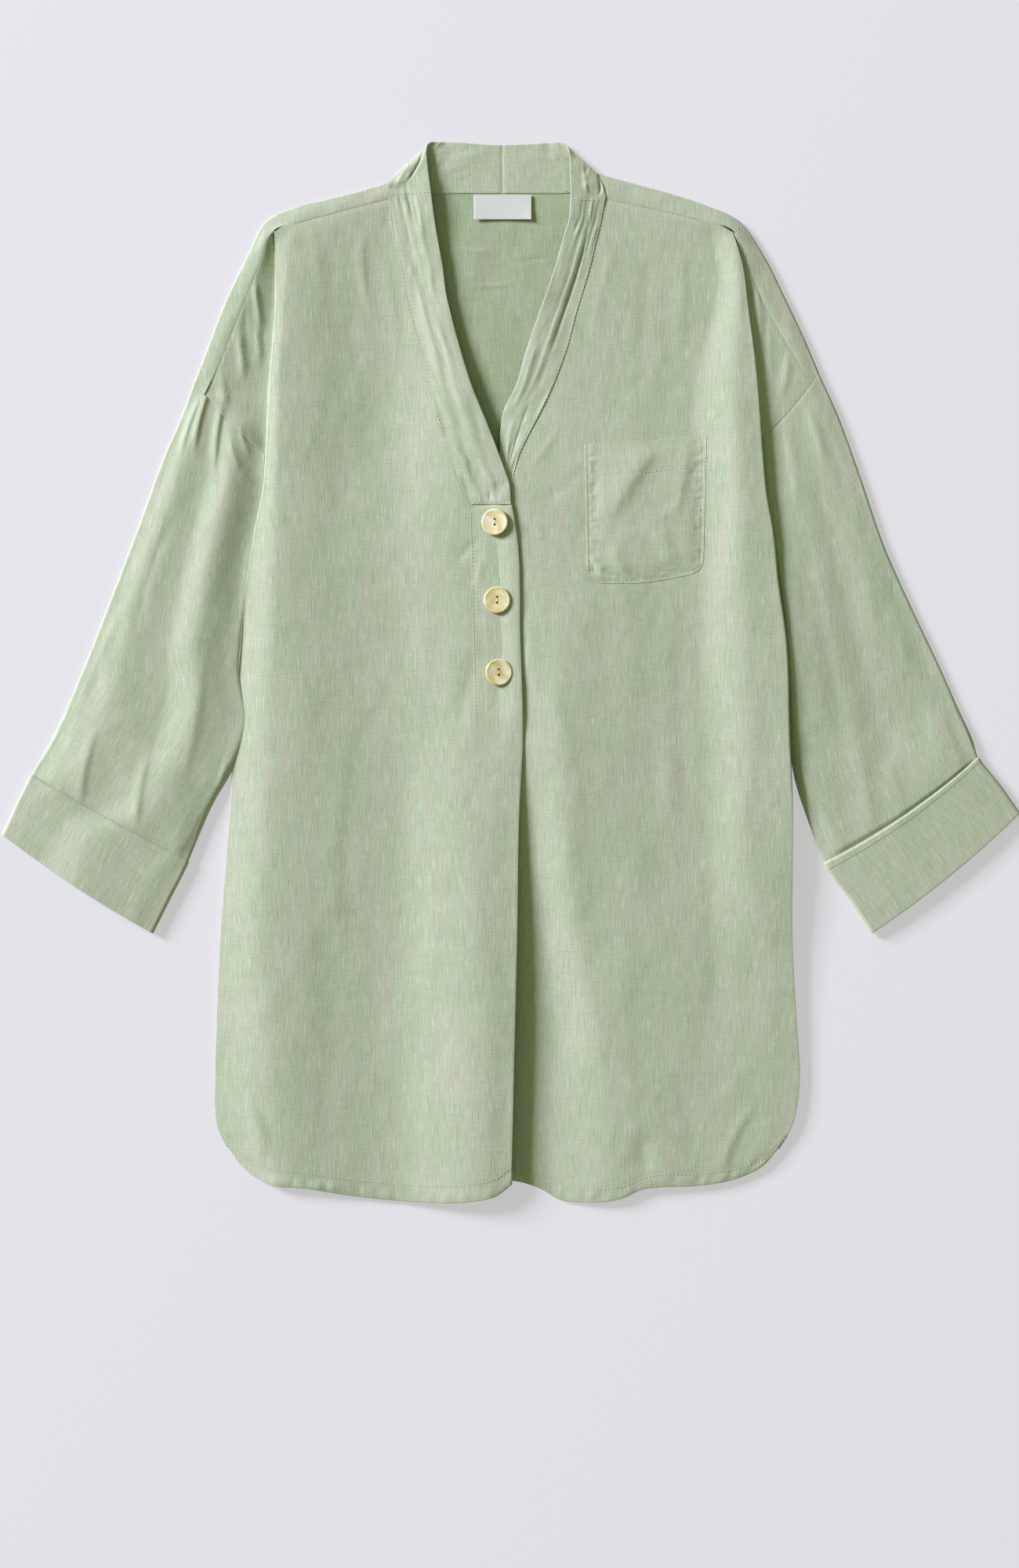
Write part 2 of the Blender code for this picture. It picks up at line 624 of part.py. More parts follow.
def sleeve_surface(sleeve, stations, grow=0.0):
    return np.stack([sleeve_ring(sleeve, t, grow) for t in stations])


def band_surface(band, count, across=6):
    """Straight lines from the seam edge to the free edge, swept smoothly along the band."""
    knots = np.linspace(0, 1, len(band["seam_x"]))
    at = np.linspace(0, 1, count)
    seam = spline(knots, np.column_stack([band[f"seam_{c}"] for c in "xyz"]), at)
    free = spline(knots, np.column_stack([band[f"free_{c}"] for c in "xyz"]), at)
    share = np.linspace(0, 1, across)[None, :, None]
    points = seam[:, None] * (1 - share) + free[:, None] * share
    points[..., 2] = np.maximum(points[..., 2], 0)
    return points


def pocket_surface():
    """The pocket's outer face: the left front's own surface, moved out by a layer."""
    corner_share = np.array([0, 0.02, 0.07, 0.15])
    share = np.concatenate([corner_share, np.linspace(0.3, 0.7, 4), 1 - corner_share[::-1]])
    u, v = np.meshgrid(share, np.linspace(0, 1, 9))
    left = POCKET_TOP_LEFT + v * (POCKET_LOW_LEFT - POCKET_TOP_LEFT)
    right = POCKET_TOP_RIGHT + v * (POCKET_LOW_RIGHT - POCKET_TOP_RIGHT)
    x = left + u * (right - left)
    near = np.clip(POCKET_CORNER - np.minimum(x - left, right - x), 0, POCKET_CORNER)
    corner = POCKET_CORNER - np.sqrt(POCKET_CORNER**2 - near**2)
    y = POCKET_TOP + v * (POCKET_BOTTOM + corner - POCKET_TOP)
    return np.dstack([x, y, front_left_height(x, y) + CLOTH + GAP])


def grid_faces(rows, columns, ring=False):
    """Quads of a grid, row by row, closed across the columns if ring."""
    index = np.arange(rows * columns).reshape(rows, columns)
    if ring:
        index = np.concatenate([index, index[:, :1]], axis=1)
    corners = [index[:-1, :-1], index[:-1, 1:], index[1:, 1:], index[1:, :-1]]
    return np.stack([c.ravel() for c in corners], axis=1)


def material(name, colour, roughness):
    made = bpy.data.materials.new(name)
    made.use_nodes = True
    shader = made.node_tree.nodes["Principled BSDF"]
    shader.inputs["Base Color"].default_value = (*colour, 1)
    shader.inputs["Roughness"].default_value = roughness
    shader.inputs["Metallic"].default_value = 0.0
    return made


def cloth(name, points, faces, colour, thickness=CLOTH, flip=False):
    """A wall: the given outer face, thickened inwards."""
    mesh = bpy.data.meshes.new(name)
    faces = [tuple(int(i) for i in (face[::-1] if flip else face)) for face in faces]
    mesh.from_pydata((np.asarray(points).reshape(-1, 3) * MM).tolist(), [], faces)
    mesh.shade_smooth()
    made = bpy.data.objects.new(name, mesh)
    bpy.context.scene.collection.objects.link(made)
    made.data.materials.append(material(name + "_linen", colour, 0.85))
    wall = made.modifiers.new("wall", "SOLIDIFY")
    wall.thickness = thickness * MM
    wall.offset = -1
    wall.use_even_offset = True
    wall.use_rim = True
    return made


def make_fronts():
    for side in ("right", "left"):
        points = front_surface(side)
        faces = grid_faces(*points.shape[:2])
        cloth(f"front_{side}", points, faces, LINEN, flip=side == "right")


def make_back():
    sheet, strips = back_surface()
    rows, columns = sheet.shape[:2]
    points = [sheet.reshape(-1, 3)]
    faces = [grid_faces(rows, columns)]
    total = rows * columns
    for strip, first in zip(strips, (0, columns - strips[0].shape[1])):
        width = strip.shape[1]
        edge = (rows - 1) * columns + first + np.arange(width)
        index = np.concatenate([edge[None], total + np.arange(strip.size // 3).reshape(-1, width)])
        corners = [index[:-1, :-1], index[:-1, 1:], index[1:, 1:], index[1:, :-1]]
        faces.append(np.stack([c.ravel() for c in corners], axis=1))
        points.append(strip.reshape(-1, 3))
        total += strip.size // 3
    cloth("back_panel", np.concatenate(points), np.concatenate(faces), LINEN_INSIDE, flip=True)


def make_sleeves():
    for side, sleeve in (("right", SLEEVE_RIGHT), ("left", SLEEVE_LEFT)):
        covered = np.linspace(CUFF_START, 1.0, 4)
        arm = sleeve_surface(sleeve, [*np.linspace(0, CUFF_START, 11)[:-1], *covered[:-1], 0.992])
        cuff = sleeve_surface(sleeve, covered, grow=CLOTH + GAP)
        flip = side == "left"
        cloth(f"sleeve_{side}", arm, grid_faces(*arm.shape[:2], ring=True), LINEN, flip=flip)
        cloth(f"cuff_{side}", cuff, grid_faces(*cuff.shape[:2], ring=True), LINEN, flip=flip)


def make_collar():
    for name, band, flip in (
        ("collar_front_right", BAND_RIGHT, False),
        ("collar_front_left", BAND_LEFT, True),
        ("collar_back_right", STAND_RIGHT, False),
        ("collar_back_left", STAND_LEFT, True),
    ):
        points = band_surface(band, 18)
        cloth(name, points, grid_faces(*points.shape[:2]), LINEN, BAND_CLOTH, flip)


def make_pocket():
    points = pocket_surface()
    cloth("pocket", points, grid_faces(*points.shape[:2]), LINEN, flip=True)


def make_label():
    x, y = np.meshgrid([LABEL_LEFT, LABEL_RIGHT], [LABEL_TOP, LABEL_BOTTOM])
    points = np.dstack([x, y, np.full(x.shape, 2 * CLOTH + GAP)])
    cloth("label", points, grid_faces(2, 2), SATIN_WHITE, flip=True)


def button_mesh():
    """A turned disc with a raised rim and a shallow dish, and two holes cut through it."""
    radius = BUTTON_DIAMETER / 2
    profile = (
        (radius - 1.2, 0.0),
        (radius - 0.3, 0.5),
        (radius, 1.3),
        (radius - 0.4, 2.2),
        (radius - 1.4, BUTTON_THICKNESS),
        (radius - 3.0, 2.3),
        (radius - 5.5, 1.9),
    )
    sides = 32
    turn = np.linspace(0, 2 * math.pi, sides, endpoint=False)
    circle = np.column_stack([np.cos(turn), np.sin(turn)])
    rings = [np.column_stack([r * circle, np.full(sides, z)]) for r, z in profile]
    points = np.concatenate(rings) * MM
    faces = [tuple(int(i) for i in face) for face in grid_faces(len(profile), sides, ring=True)]
    faces.append(tuple(range(sides))[::-1])
    faces.append(tuple(range((len(profile) - 1) * sides, len(profile) * sides)))
    mesh = bpy.data.meshes.new("button")
    mesh.from_pydata(points.tolist(), [], faces)
    return mesh


def make_buttons():
    mesh = button_mesh()
    mesh.materials.append(material("shell", SHELL, 0.3))
    for number, (x, y, tip) in enumerate(zip(*BUTTONS.values()), start=1):
        made = bpy.data.objects.new(f"button_{number}", mesh)
        bpy.context.scene.collection.objects.link(made)
        rise = BUTTON_DIAMETER / 2 * abs(math.sin(math.radians(tip)))
        around = x + BUTTON_DIAMETER * np.linspace(-0.48, 0.48, 5)
        top = front_right_height(around, np.full(len(around), y)).max()
        made.location = (x * MM, y * MM, (top + GAP + rise) * MM)
        made.rotation_euler = (0, math.radians(tip), 0)
        for way in (-1, 1):
            bpy.ops.mesh.primitive_cylinder_add(
                vertices=12, radius=BUTTON_HOLE / 2 * MM, depth=12 * MM
            )
            cutter = bpy.context.object
            cutter.name = f"button_{number}_hole_{'low' if way < 0 else 'high'}"
            cutter.parent = made
            cutter.location = (0, way * BUTTON_HOLE_SPREAD / 2 * MM, 0)
            cutter.hide_render = True
            cutter.display_type = "WIRE"
            cut = made.modifiers.new(cutter.name, "BOOLEAN")
            cut.operation = "DIFFERENCE"
            cut.solver = "EXACT"
            cut.object = cutter


def main():
    for old in list(bpy.data.objects):
        bpy.data.objects.remove(old, do_unlink=True)
    make_back()
    make_fronts()
    make_sleeves()
    make_collar()
    make_pocket()
    make_label()
    make_buttons()


main()
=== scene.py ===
import math
from types import SimpleNamespace

import bpy
import numpy as np
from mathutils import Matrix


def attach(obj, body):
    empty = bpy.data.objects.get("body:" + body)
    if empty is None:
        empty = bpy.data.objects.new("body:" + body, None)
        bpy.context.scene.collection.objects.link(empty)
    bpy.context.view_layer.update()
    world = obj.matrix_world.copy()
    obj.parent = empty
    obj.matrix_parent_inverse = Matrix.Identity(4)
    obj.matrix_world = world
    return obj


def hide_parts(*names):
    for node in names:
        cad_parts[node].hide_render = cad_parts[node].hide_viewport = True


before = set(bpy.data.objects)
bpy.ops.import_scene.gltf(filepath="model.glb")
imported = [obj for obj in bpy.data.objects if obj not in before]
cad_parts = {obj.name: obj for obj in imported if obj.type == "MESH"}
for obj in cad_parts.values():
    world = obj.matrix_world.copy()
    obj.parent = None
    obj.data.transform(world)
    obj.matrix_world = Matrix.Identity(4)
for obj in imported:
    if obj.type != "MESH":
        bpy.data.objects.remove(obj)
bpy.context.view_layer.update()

# A linen tunic top laid flat, face up. Lengths are in millimetres until a mesh is made: +Y runs
# from the hem to the collar, +X towards the wearer's left, and the table is z = 0. "Right" and
# "left" are the wearer's. Every panel is a fine grid over the panel's own outline, raised by the
# folds in which the cloth lies, and Solidify gives it the thickness of the cloth.

MM = 0.001
LAYER = 0.5  # one layer of the linen
FOLD = 1.9  # radius of the folds along the sleeves and the shoulders
EDGE_FOLD = 0.52  # radius of a pressed edge, such as a hem's
HEM = 10.0  # depth of the turned hem
SIDE_ROLL = 1.6  # radius of the rounded fold down each side of the body
SIDE_FOOT, SIDE_ON_SLEEVE = 1.0, 4.2  # height of the body's side, on the table and on a sleeve
SLEEVE_UNDER_SIDE = -100.0  # y from which up the body's sides lie on the sleeves
LIP_RIGHT, LIP_LEFT = 1.4, 5.2  # height of the dropped shoulder right beside the body's fold
PLACKET_FOOT, PLACKET_TOP = -60.0, 150.0  # y of the ends of the stretch with the buttons
PLACKET_RAISE = 1.8  # how far the placket's layers lift the lap's edge
SUNK = 2.3  # how far a front lies below the collar band that covers it
SEAM_ON_ARMHOLE = 0.16  # share of the armhole from the shoulder fold to the shoulder seam
COLLAR_LIFT, COLLAR_REACH = 1.2, 15.0  # rise of the left front towards its band, and its width
NECK_OPENS, NECK_OPEN_RUN = 175.0, 60.0  # y where the lap ends at the neck, and the run of that
NECK_FOOT = 130.0  # y below which the left front's inner edge counts as straight
UNDERARM_V, UNDERARM_BACK = 0.73, 0.78  # share of the front's and back's rows below the underarm
CUFF_START = 0.84  # share of the sleeve above the turned-up cuff
CUFF_RAISE = LAYER + 0.7  # how far the layers inside the cuff lift the sleeve's upper face
CUFF_PUFF = 1.3  # how far the sleeve swells just above its cuff
SLEEVE_LENGTH = 370.0  # from the armhole to the turned-up cuff's mouth, along the outer fold
MOUTH_LENGTH = 375.0  # the same near the mouth, in the middle of the sleeve
SEAM_GROOVE, SEAM_GROOVE_WIDTH = 0.16, 0.7  # how a seam draws the cloth down on both its sides
BAND_ROWS, STAND_ROWS, BAND_COLUMNS = 190, 104, 36  # of the grids of the collar's pieces
CENTRE_BACK = -7.0  # x of the seam that joins the halves of the back collar
BUTTON_DIAMETER = 21.0
RIM_SHARE = 0.06  # of a grid's first and last spacing, as a strip beside the rim
KEY_SHARE = 0.72  # of the light that falls on the table


def table(names, *rows):
    """Named columns from rows of numbers."""
    return dict(zip(names.split(), np.array(rows, float).T))


# The body's outline: x of its right and left side and, in the middle, of the lap's edge.
BODY = table(
    "y right left centre",
    (-400, -204, 184, 0),
    (-363, -231, 220, 0.5),
    (-320, -234, 228, 2),
    (-285, -233, 226, 3),
    (-213, -230, 222, 4.5),
    (-106, -222, 222, 6.5),
    (-56, -219, 220, 9),
    (27, -213, 217, 7),
    (71, -209, 211, 5.5),
    (110, -203, 207, 4),
    (139, -197, 202, 0),
    (171, -194, 199, -6),
    (232, -190, 194, -34),
    (289, -186, 187, -50),
    (320, -186, 183, -54.5),
    (348, -187, 177, -60),
    (380, -187, 177, -64),
)
# Folds of the right front, as lines that run along it: the side's edge, a broad crest, a low
# stretch, the rise beside the placket, and the lap's edge. x and z are place and height; reach
# is how far outside the edge the side's slope would start.
FOLDS_RIGHT = table(
    "y reach edge_z crest_x crest_z low_x low_z rise_x rise_z lap_z",
    (-420, 16, 0.2, -182, 6.8, -96, 3.6, -20, 11.8, 11.2),
    (-337, 18, 0.4, -184, 8.6, -96, 3.8, -20, 12.6, 11.6),
    (-213, 20, 0.6, -194, 9, -93, 4, -24, 12.2, 10.8),
    (-106, 16, 1.2, -188, 9, -90, 4.2, -28, 10.2, 9.6),
    (0, 10, 2.6, -186, 8.8, -96, 4.4, -24, 7.8, 9.4),
    (110, 8, 3.6, -184, 8.4, -102, 3.8, -34, 7.5, 8.3),
    (171, 6, 4.2, -183, 7.8, -104, 2, -28, 8.2, 8.4),
    (232, 5, 4.6, -182, 7.4, -98, 1.4, -34, 7.4, 7.6),
    (290, 5, 4.6, -178, 7, -96, 1.4, -48, 6.5, 6.5),
    (330, 5, 4.6, -174, 6.6, -98, 2.4, -52, 6.2, 6.2),
    (380, 5, 4.4, -170, 6, -106, 4.6, -56, 6.2, 6.2),
)
# The same for the left front: the pleat's foot, its crest, a low stretch, a ridge, the edge.
FOLDS_LEFT = table(
    "y foot_x foot_z crest_x crest_z low_x low_z ridge_x ridge_z edge_z",
    (-420, 30, 2, 84, 6.2, 150, 5.2, 176, 4.6, 4),
    (-337, 29, 2, 80, 6.8, 170, 5.4, 204, 5.2, 5.2),
    (-244, 23, 2, 64, 7.6, 166, 6, 212, 7.2, 7.3),
    (-151, 15, 4.6, 48, 9.2, 150, 7.2, 190, 11.8, 12),
    (-58, 9, 8.2, 42, 11.5, 150, 7.6, 193, 13, 13.2),
    (35, 8, 8.9, 41, 10.6, 146, 6.8, 188, 12.3, 12.4),
    (130, 6, 7.9, 40, 7.6, 148, 5.8, 186, 11.4, 11.1),
    (221, 8, 4.2, 45, 4.8, 142, 3.9, 180, 10, 9.7),
    (314, 22, 4.2, 65, 4.8, 162, 4.3, 181, 8.2, 8),
    (380, 40, 4.2, 80, 5, 148, 4.8, 172, 6.4, 6),
)
# The fronts' inner edges, from the hem to the collar: the left one lies below the lap.
EDGE_LEFT = table(
    "x y",
    (-28, -402), (-26, -300), (-22, -150), (-19, 0), (-18, 120), (-12, 150), (-5, 172),
    (-4, 190), (-1, 207), (9, 228), (18, 257), (28, 286), (39, 318), (47, 345), (52, 371),
)
EDGE_RIGHT = table(
    "x y",
    (0, -404), (2, -320), (4.5, -213), (6.5, -106), (9, -56), (7, 27), (4, 110),
    (-2, 141), (-9, 166), (-21, 195), (-37, 235), (-53, 292), (-57, 322), (-62, 352),
    (-67, 377),
)
# The hems, from the fronts' inner edges out to the sides.
HEM_RIGHT = table(
    "x y",
    (0, -404), (-12, -413), (-36, -418), (-71, -418.4), (-106, -416), (-133, -412.5),
    (-163, -407.5), (-190, -404.5), (-204, -398), (-217, -386), (-225, -375),
)
HEM_LEFT = table(
    "x y",
    (-28, -402), (10, -403.5), (24, -408.5), (38, -416.5), (56, -418.4), (72, -418.4),
    (88, -415.5), (104, -408.5), (120, -406.5), (142, -406), (167, -403), (183, -398.5),
    (198, -391), (212, -376),
)
# Shoulders, from the armhole up to the neck: the fold at the top of the garment, the seam on
# the front that the back wraps over to, and the height of the cloth at that seam.
SHOULDER_RIGHT = table(
    "fold_x fold_y seam_x seam_y seam_z",
    (-250.5, 229.6, -242, 225.2, 4.4),
    (-242, 251, -229.5, 245, 4.6),
    (-224.5, 296, -214.5, 282.5, 4.8),
    (-207, 331.5, -199, 321, 5.2),
    (-194.5, 355.5, -188, 347.5, 6),
    (-172.5, 366.5, -169, 354, 5.6),
    (-144, 374, -141, 361.5, 4.8),
    (-119, 380.5, -117, 368, 4.4),
    (-94.4, 388, -94.4, 373.5, 4.4),
)
SHOULDER_LEFT = table(
    "fold_x fold_y seam_x seam_y seam_z",
    (242, 237, 231.5, 232.5, 4.6),
    (233, 261, 219, 257.5, 4.6),
    (215.5, 298, 202.5, 286, 4.8),
    (200.5, 328, 188.5, 317, 5.2),
    (179, 357, 176.5, 347, 6),
    (153, 368.9, 151, 355.5, 6),
    (126, 377.9, 124, 362.3, 5.2),
    (100, 385, 98, 368.4, 4.8),
    (66, 394.4, 68, 374, 4.6),
)
# Sleeves, from the armhole seam to the mouth: outer fold, inner fold, how far the section
# bows towards the mouth, and how far along the sleeve it lies.
SLEEVE_RIGHT = table(
    "t outer_x outer_y inner_x inner_y bow",
    (0, -250.5, 229, -193.5, 170.5, 2.5),
    (0.1, -261, 201, -196.2, 134, 3),
    (0.2, -276, 166, -203.2, 98, 3),
    (0.32, -295, 114, -209.6, 50, 3),
    (0.45, -317.5, 55, -213.8, 0, 2),
    (0.57, -335, 10, -207, -42, 2),
    (0.68, -352, -30, -221.4, -80, 1),
    (0.78, -367, -60, -239, -112, 1),
    (0.84, -379, -81.5, -255, -150, 1),
    (0.92, -390.5, -104.5, -269, -178, 1.5),
    (1.0, -401.6, -128.5, -283, -206, 2.5),
)
SLEEVE_LEFT = table(
    "t outer_x outer_y inner_x inner_y bow",
    (0, 243, 236.5, 198, 184, 3),
    (0.1, 259, 201, 201.6, 134, 3),
    (0.2, 275.5, 156, 206, 98, 3),
    (0.32, 294, 102, 212.6, 50, 3),
    (0.45, 317, 50, 216.4, 0, 2),
    (0.57, 337, 8, 219, -42, 2),
    (0.68, 353, -28, 223, -80, 2),
    (0.78, 365, -54, 234, -116, 3),
    (0.84, 369, -67.5, 247.5, -151, 5),
    (0.92, 386, -89.5, 267.5, -179, 4),
    (1.0, 401.6, -111.5, 285, -206, 3.5),
)
# Folds along a sleeve: the place across it (0 at the outer fold, 1 at the inner one) and the
# height above the folds of an outer ridge, a hollow, a main ridge and an inner hollow.
LIE_RIGHT = table(
    "t ridge ridge_z hollow hollow_z main main_z inner inner_z",
    (0, 0.18, 0.9, 0.38, 0.9, 0.58, 2.2, 0.96, -0.4),
    (0.1, 0.19, 2.6, 0.42, 1.8, 0.63, 4.4, 0.96, 0),
    (0.3, 0.2, 3.2, 0.44, 2, 0.65, 5, 0.96, 0.3),
    (0.5, 0.21, 3.4, 0.46, 2, 0.66, 5, 0.96, 0.8),
    (0.7, 0.23, 3.4, 0.53, 1.9, 0.68, 4.2, 0.96, 1.4),
    (0.8, 0.24, 2.4, 0.5, 1.6, 0.68, 3.2, 0.95, 0.9),
    (0.88, 0.12, 0.9, 0.28, 0.9, 0.5, 3.4, 0.84, 1.6),
    (1.0, 0.1, 0.5, 0.24, 0.5, 0.5, 3.8, 0.84, 1.6),
)
LIE_LEFT = table(
    "t ridge ridge_z hollow hollow_z main main_z inner inner_z",
    (0, 0.2, 0.8, 0.4, 0.7, 0.6, 0.8, 0.94, 0.2),
    (0.1, 0.22, 0.9, 0.42, 0.9, 0.62, 1.3, 0.94, 1.2),
    (0.3, 0.2, 0.9, 0.42, 1, 0.64, 2.6, 0.95, 4.4),
    (0.5, 0.18, 0.9, 0.42, 1.1, 0.64, 3, 0.95, 5.2),
    (0.7, 0.18, 1, 0.42, 1.2, 0.64, 2.8, 0.94, 3.4),
    (0.8, 0.2, 0.9, 0.42, 1, 0.64, 1.4, 0.9, 0.6),
    (0.88, 0.2, 0.8, 0.4, 0.8, 0.6, 1, 0.82, 0.6),
    (1.0, 0.2, 0.8, 0.4, 0.8, 0.6, 0.9, 0.8, 0.7),
)
# Collar: the band's seam edge and free edge, section by section, on its outer face.
BAND_RIGHT = table(
    "seam_x seam_y seam_z free_x free_y free_z",
    (-31.5, 131.8, 0.25, -0.5, 131.8, 0.5),
    (-39, 147, 0.25, -1.5, 147, 0.8),
    (-46, 164.5, 0.25, -6, 161, 1),
    (-56, 191.5, 0.25, -17.5, 191.5, 0.7),
    (-66.5, 233.5, 0.25, -34, 233.5, 0.6),
    (-82.5, 291, 0.25, -50, 291, 0.6),
    (-88, 321, 0.25, -54.5, 321, 0.7),
    (-95, 352, 0.25, -60, 352, 1.1),
    (-96.5, 380, 0.25, -64, 382, 1.3),
)
BAND_LEFT = table(
    "seam_x seam_y seam_z free_x free_y free_z",
    (-1, 129.2, 0.2, -16.5, 129.2, 0.2),
    (0.5, 147, 0.2, -14.5, 147, 0.2),
    (6, 169, 0.25, -9, 170, 0),
    (14, 187, 0.4, -8, 190.5, -1.1),
    (23, 204.5, 0.5, -5, 207.5, -1.2),
    (33.5, 226.5, 0.4, 4.5, 226.5, -1),
    (44.5, 255.5, 0.25, 13, 255.5, 0.2),
    (52, 284, 0.25, 23, 284, 1.2),
    (61.5, 315, 0.25, 34, 315.5, 1.8),
    (68, 341.5, 0.25, 42, 343, 2),
    (71.5, 356, 0.25, 46, 356, 1.8),
    (74.6, 375, 0.25, 47.5, 376, 1.6),
)
STAND_RIGHT = table(
    "seam_x seam_y seam_z free_x free_y free_z",
    (-96.5, 380, 5.4, -64, 382, 7),
    (-96.5, 384.5, 5.6, -66, 398, 6.2),
    (-96, 387.4, 5, -67, 411, 5),
    (-94.5, 389.2, 3.6, -65, 418, 3),
    (-90.5, 388.4, 1.2, -60, 418.5, 1.2),
    (-82, 383.6, 0.3, -52, 418.5, 0),
    (-66, 378.6, 0, -40, 418, 0),
    (-36, 378.4, 0, -23, 416.7, 0),
    (CENTRE_BACK, 378.4, 0, CENTRE_BACK, 416, 0),
)
STAND_LEFT = table(
    "seam_x seam_y seam_z free_x free_y free_z",
    (74.6, 375, 5.6, 47.5, 376, 7.2),
    (72, 384, 5.6, 47, 393.5, 7),
    (69, 391, 5.2, 46.5, 408, 5.6),
    (65, 395.6, 4.2, 44, 416, 3.4),
    (61, 392, 1.2, 40, 418, 1.2),
    (56, 385, 0.4, 32, 418, 0),
    (46, 378.8, 0, 22, 417.3, 0),
    (18, 378.4, 0, 8, 416.6, 0),
    (CENTRE_BACK, 378.4, 0, CENTRE_BACK, 416, 0),
)
# The back's neck seam, from the right shoulder to the left one.
NECK = table(
    "x y",
    (-97.4, 387.2), (-92.5, 386.6), (-83.5, 383.6), (-66.5, 380.2), (-50, 380.2),
    (-30, 380.2), (-7, 380.2), (12, 380.2), (30, 380.2), (44, 380.4), (54, 384),
    (60, 388), (66, 392.4),
)
POCKET_TOP, POCKET_BOTTOM = 186.0, 69.4
POCKET_TOP_INNER, POCKET_TOP_OUTER = 58.3, 154.4  # x of its sides, at the top
POCKET_LOW_INNER, POCKET_LOW_OUTER = 60.0, 151.9  # and at the bottom
POCKET_WIDTH, POCKET_DEPTH = 95.0, 114.0
POCKET_CORNER = 13.0  # radius of the lower corners
POCKET_SLANT, POCKET_DRAWN_UP = 6.0, 10.0  # rise of the top and of the bottom towards the sleeve
POCKET_SUNK = 1.4  # how far the front lies below the middle of the pocket
LABEL_START, LABEL_END = -29.0, 16.0
LABEL_TOP, LABEL_BOTTOM = 377.0, 357.5
STITCH, STITCH_GAP = 2.6, 0.5  # length of a stitch and the space to the next one
PLACKET_LINE = table("y x", (-62, -26.8), (127, -31.8))  # the stitching beside the buttons
PLACKET_LINE_ENDS = -44.0, 126.0
# Buttons, top to bottom: place, and how far each tips about the garment's length.
BUTTONS = table("x y tip", (-12.7, 117.8, -7), (-10.9, 56.4, -2), (-9.6, -0.6, 2))
HOLE_RADIUS, HOLE_SPREAD = 0.9, 2.15  # of a button's two holes, from its middle
BUTTONHOLE, BUTTONHOLE_ABOVE = 26.0, 4.5  # length, and how far its middle is above the button

# Creases are rows of: both ends (x0, y0, x1, y1), how far the line bows to its right, half
# width, height (below 0 for a trough), and lean: above 0 is gentler on the line's right.
CREASES_RIGHT = (
    (-118, 350, -112, 284, 2, 4, 0.55, 0.2),
    (-155, 356, -153, 306, -1, 4.5, 0.3, 0),
    (-137, 352, -141, 268, 3, 6, -0.35, 0.1),
    (-100, 330, -92, 240, -3, 5, 0.3, 0.2),
    (-126, 300, -118, 226, 2, 6, -0.25, 0),
    (-144, 262, -150, 190, 3, 7, 0.25, 0),
    (-16, 104, -26, 60, 2, 3, 0.6, 0.3),
    (-22, 106, -44, 84, 2, 2.4, -0.5, 0),
    (-33, 127, -28, -62, 0, 0.9, -0.2, 0),
    (-24, 20, -40, -60, 4, 6, -0.6, 0.1),
    (-206, -396, -120, -406, 6, 4, 0.8, -0.2),
    (-214, -330, -196, -392, -6, 6, 0.9, 0.2),
    (-60, -120, -62, -400, 3, 7, 0.3, 0.2),
    (-146, -180, -150, -400, -5, 12, -0.4, 0.1),
    (-128, -40, -136, -240, 6, 9, 0.5, 0.2),
)
CREASES_LEFT = (
    (12, 160, 40, 200, 3, 2.6, 0.3, 0.2),
    (20, 132, 64, 168, 4, 3.4, -0.2, 0),
    (10, 128, 30, 96, -2, 3, 0.3, 0.1),
    (5, 130, 14, 129, 0, 0.7, -0.5, 0),
    (14, 60, 22, -20, 3, 6, 0.4, 0.2),
    (26, -8, 44, -70, -4, 6, 0.4, 0.2),
    (44, -40, 58, -120, 3, 7, 0.3, 0.1),
    (88, 350, 62, 250, 4, 5, 0.3, -0.2),
    (112, 352, 104, 230, 2, 6, -0.35, 0),
    (135, 340, 131, 240, -2, 5, 0.3, 0.1),
    (160, 300, 166, 60, -5, 7, -0.3, 0.1),
    (126, 60, 132, -160, 6, 9, 0.6, 0.1),
    (150, -120, 160, -330, -5, 9, -0.35, 0.1),
    (90, -180, 96, -380, 4, 9, 0.35, 0.1),
    (196, -340, 168, -398, 6, 4, 0.6, 0.2),
    (104, -360, 110, -404, 2, 7, -0.9, 0),
)
SHOULDER_CREASES_RIGHT = (
    (-205, 318, -197, 262, -1, 2.4, 1.4, 0.2),
    (-218, 276, -211, 226, -2, 2.6, 1.3, 0.2),
    (-202, 276, -198, 238, -1, 2, 1.1, 0.2),
    (-230, 250, -224, 206, 1, 2.6, 1.3, 0.2),
    (-212, 300, -206, 252, 1, 2.2, -0.6, 0),
)
SHOULDER_CREASES_LEFT = (
    (196, 316, 200, 258, 2, 3.2, 0.6, -0.2),
    (206, 284, 206, 226, 2, 3, 0.5, -0.2),
    (220, 256, 212, 214, -1, 3, 0.7, -0.2),
)
SLEEVE_CREASES_RIGHT = (
    (-232, 236, -250, 168, 4, 2.6, 1.2, 0.2),
    (-224, 226, -234, 150, 3, 3, 1.4, 0.2),
    (-243, 222, -262, 166, 2, 2.2, 0.9, 0.2),
    (-214, 196, -204, 168, 2, 2, 0.7, 0),
    (-222, 186, -212, 158, 2, 2, 0.6, 0),
    (-262, 130, -300, 20, 5, 5, -0.6, 0.1),
    (-300, 60, -350, -50, 4, 5, 0.6, 0.1),
    (-326, -40, -340, -110, 3, 4, 0.9, 0.2),
    (-284, -60, -296, -128, 3, 4, 1, 0.2),
    (-244, 20, -262, -90, -4, 6, 0.8, 0.2),
    (-222, -60, -250, -140, -3, 1.6, 1.3, 0.2),
    (-366, -64, -380, -90, 1, 3, -0.8, 0),
    (-232, -92, -252, -128, -2, 2.4, -0.8, 0),
)
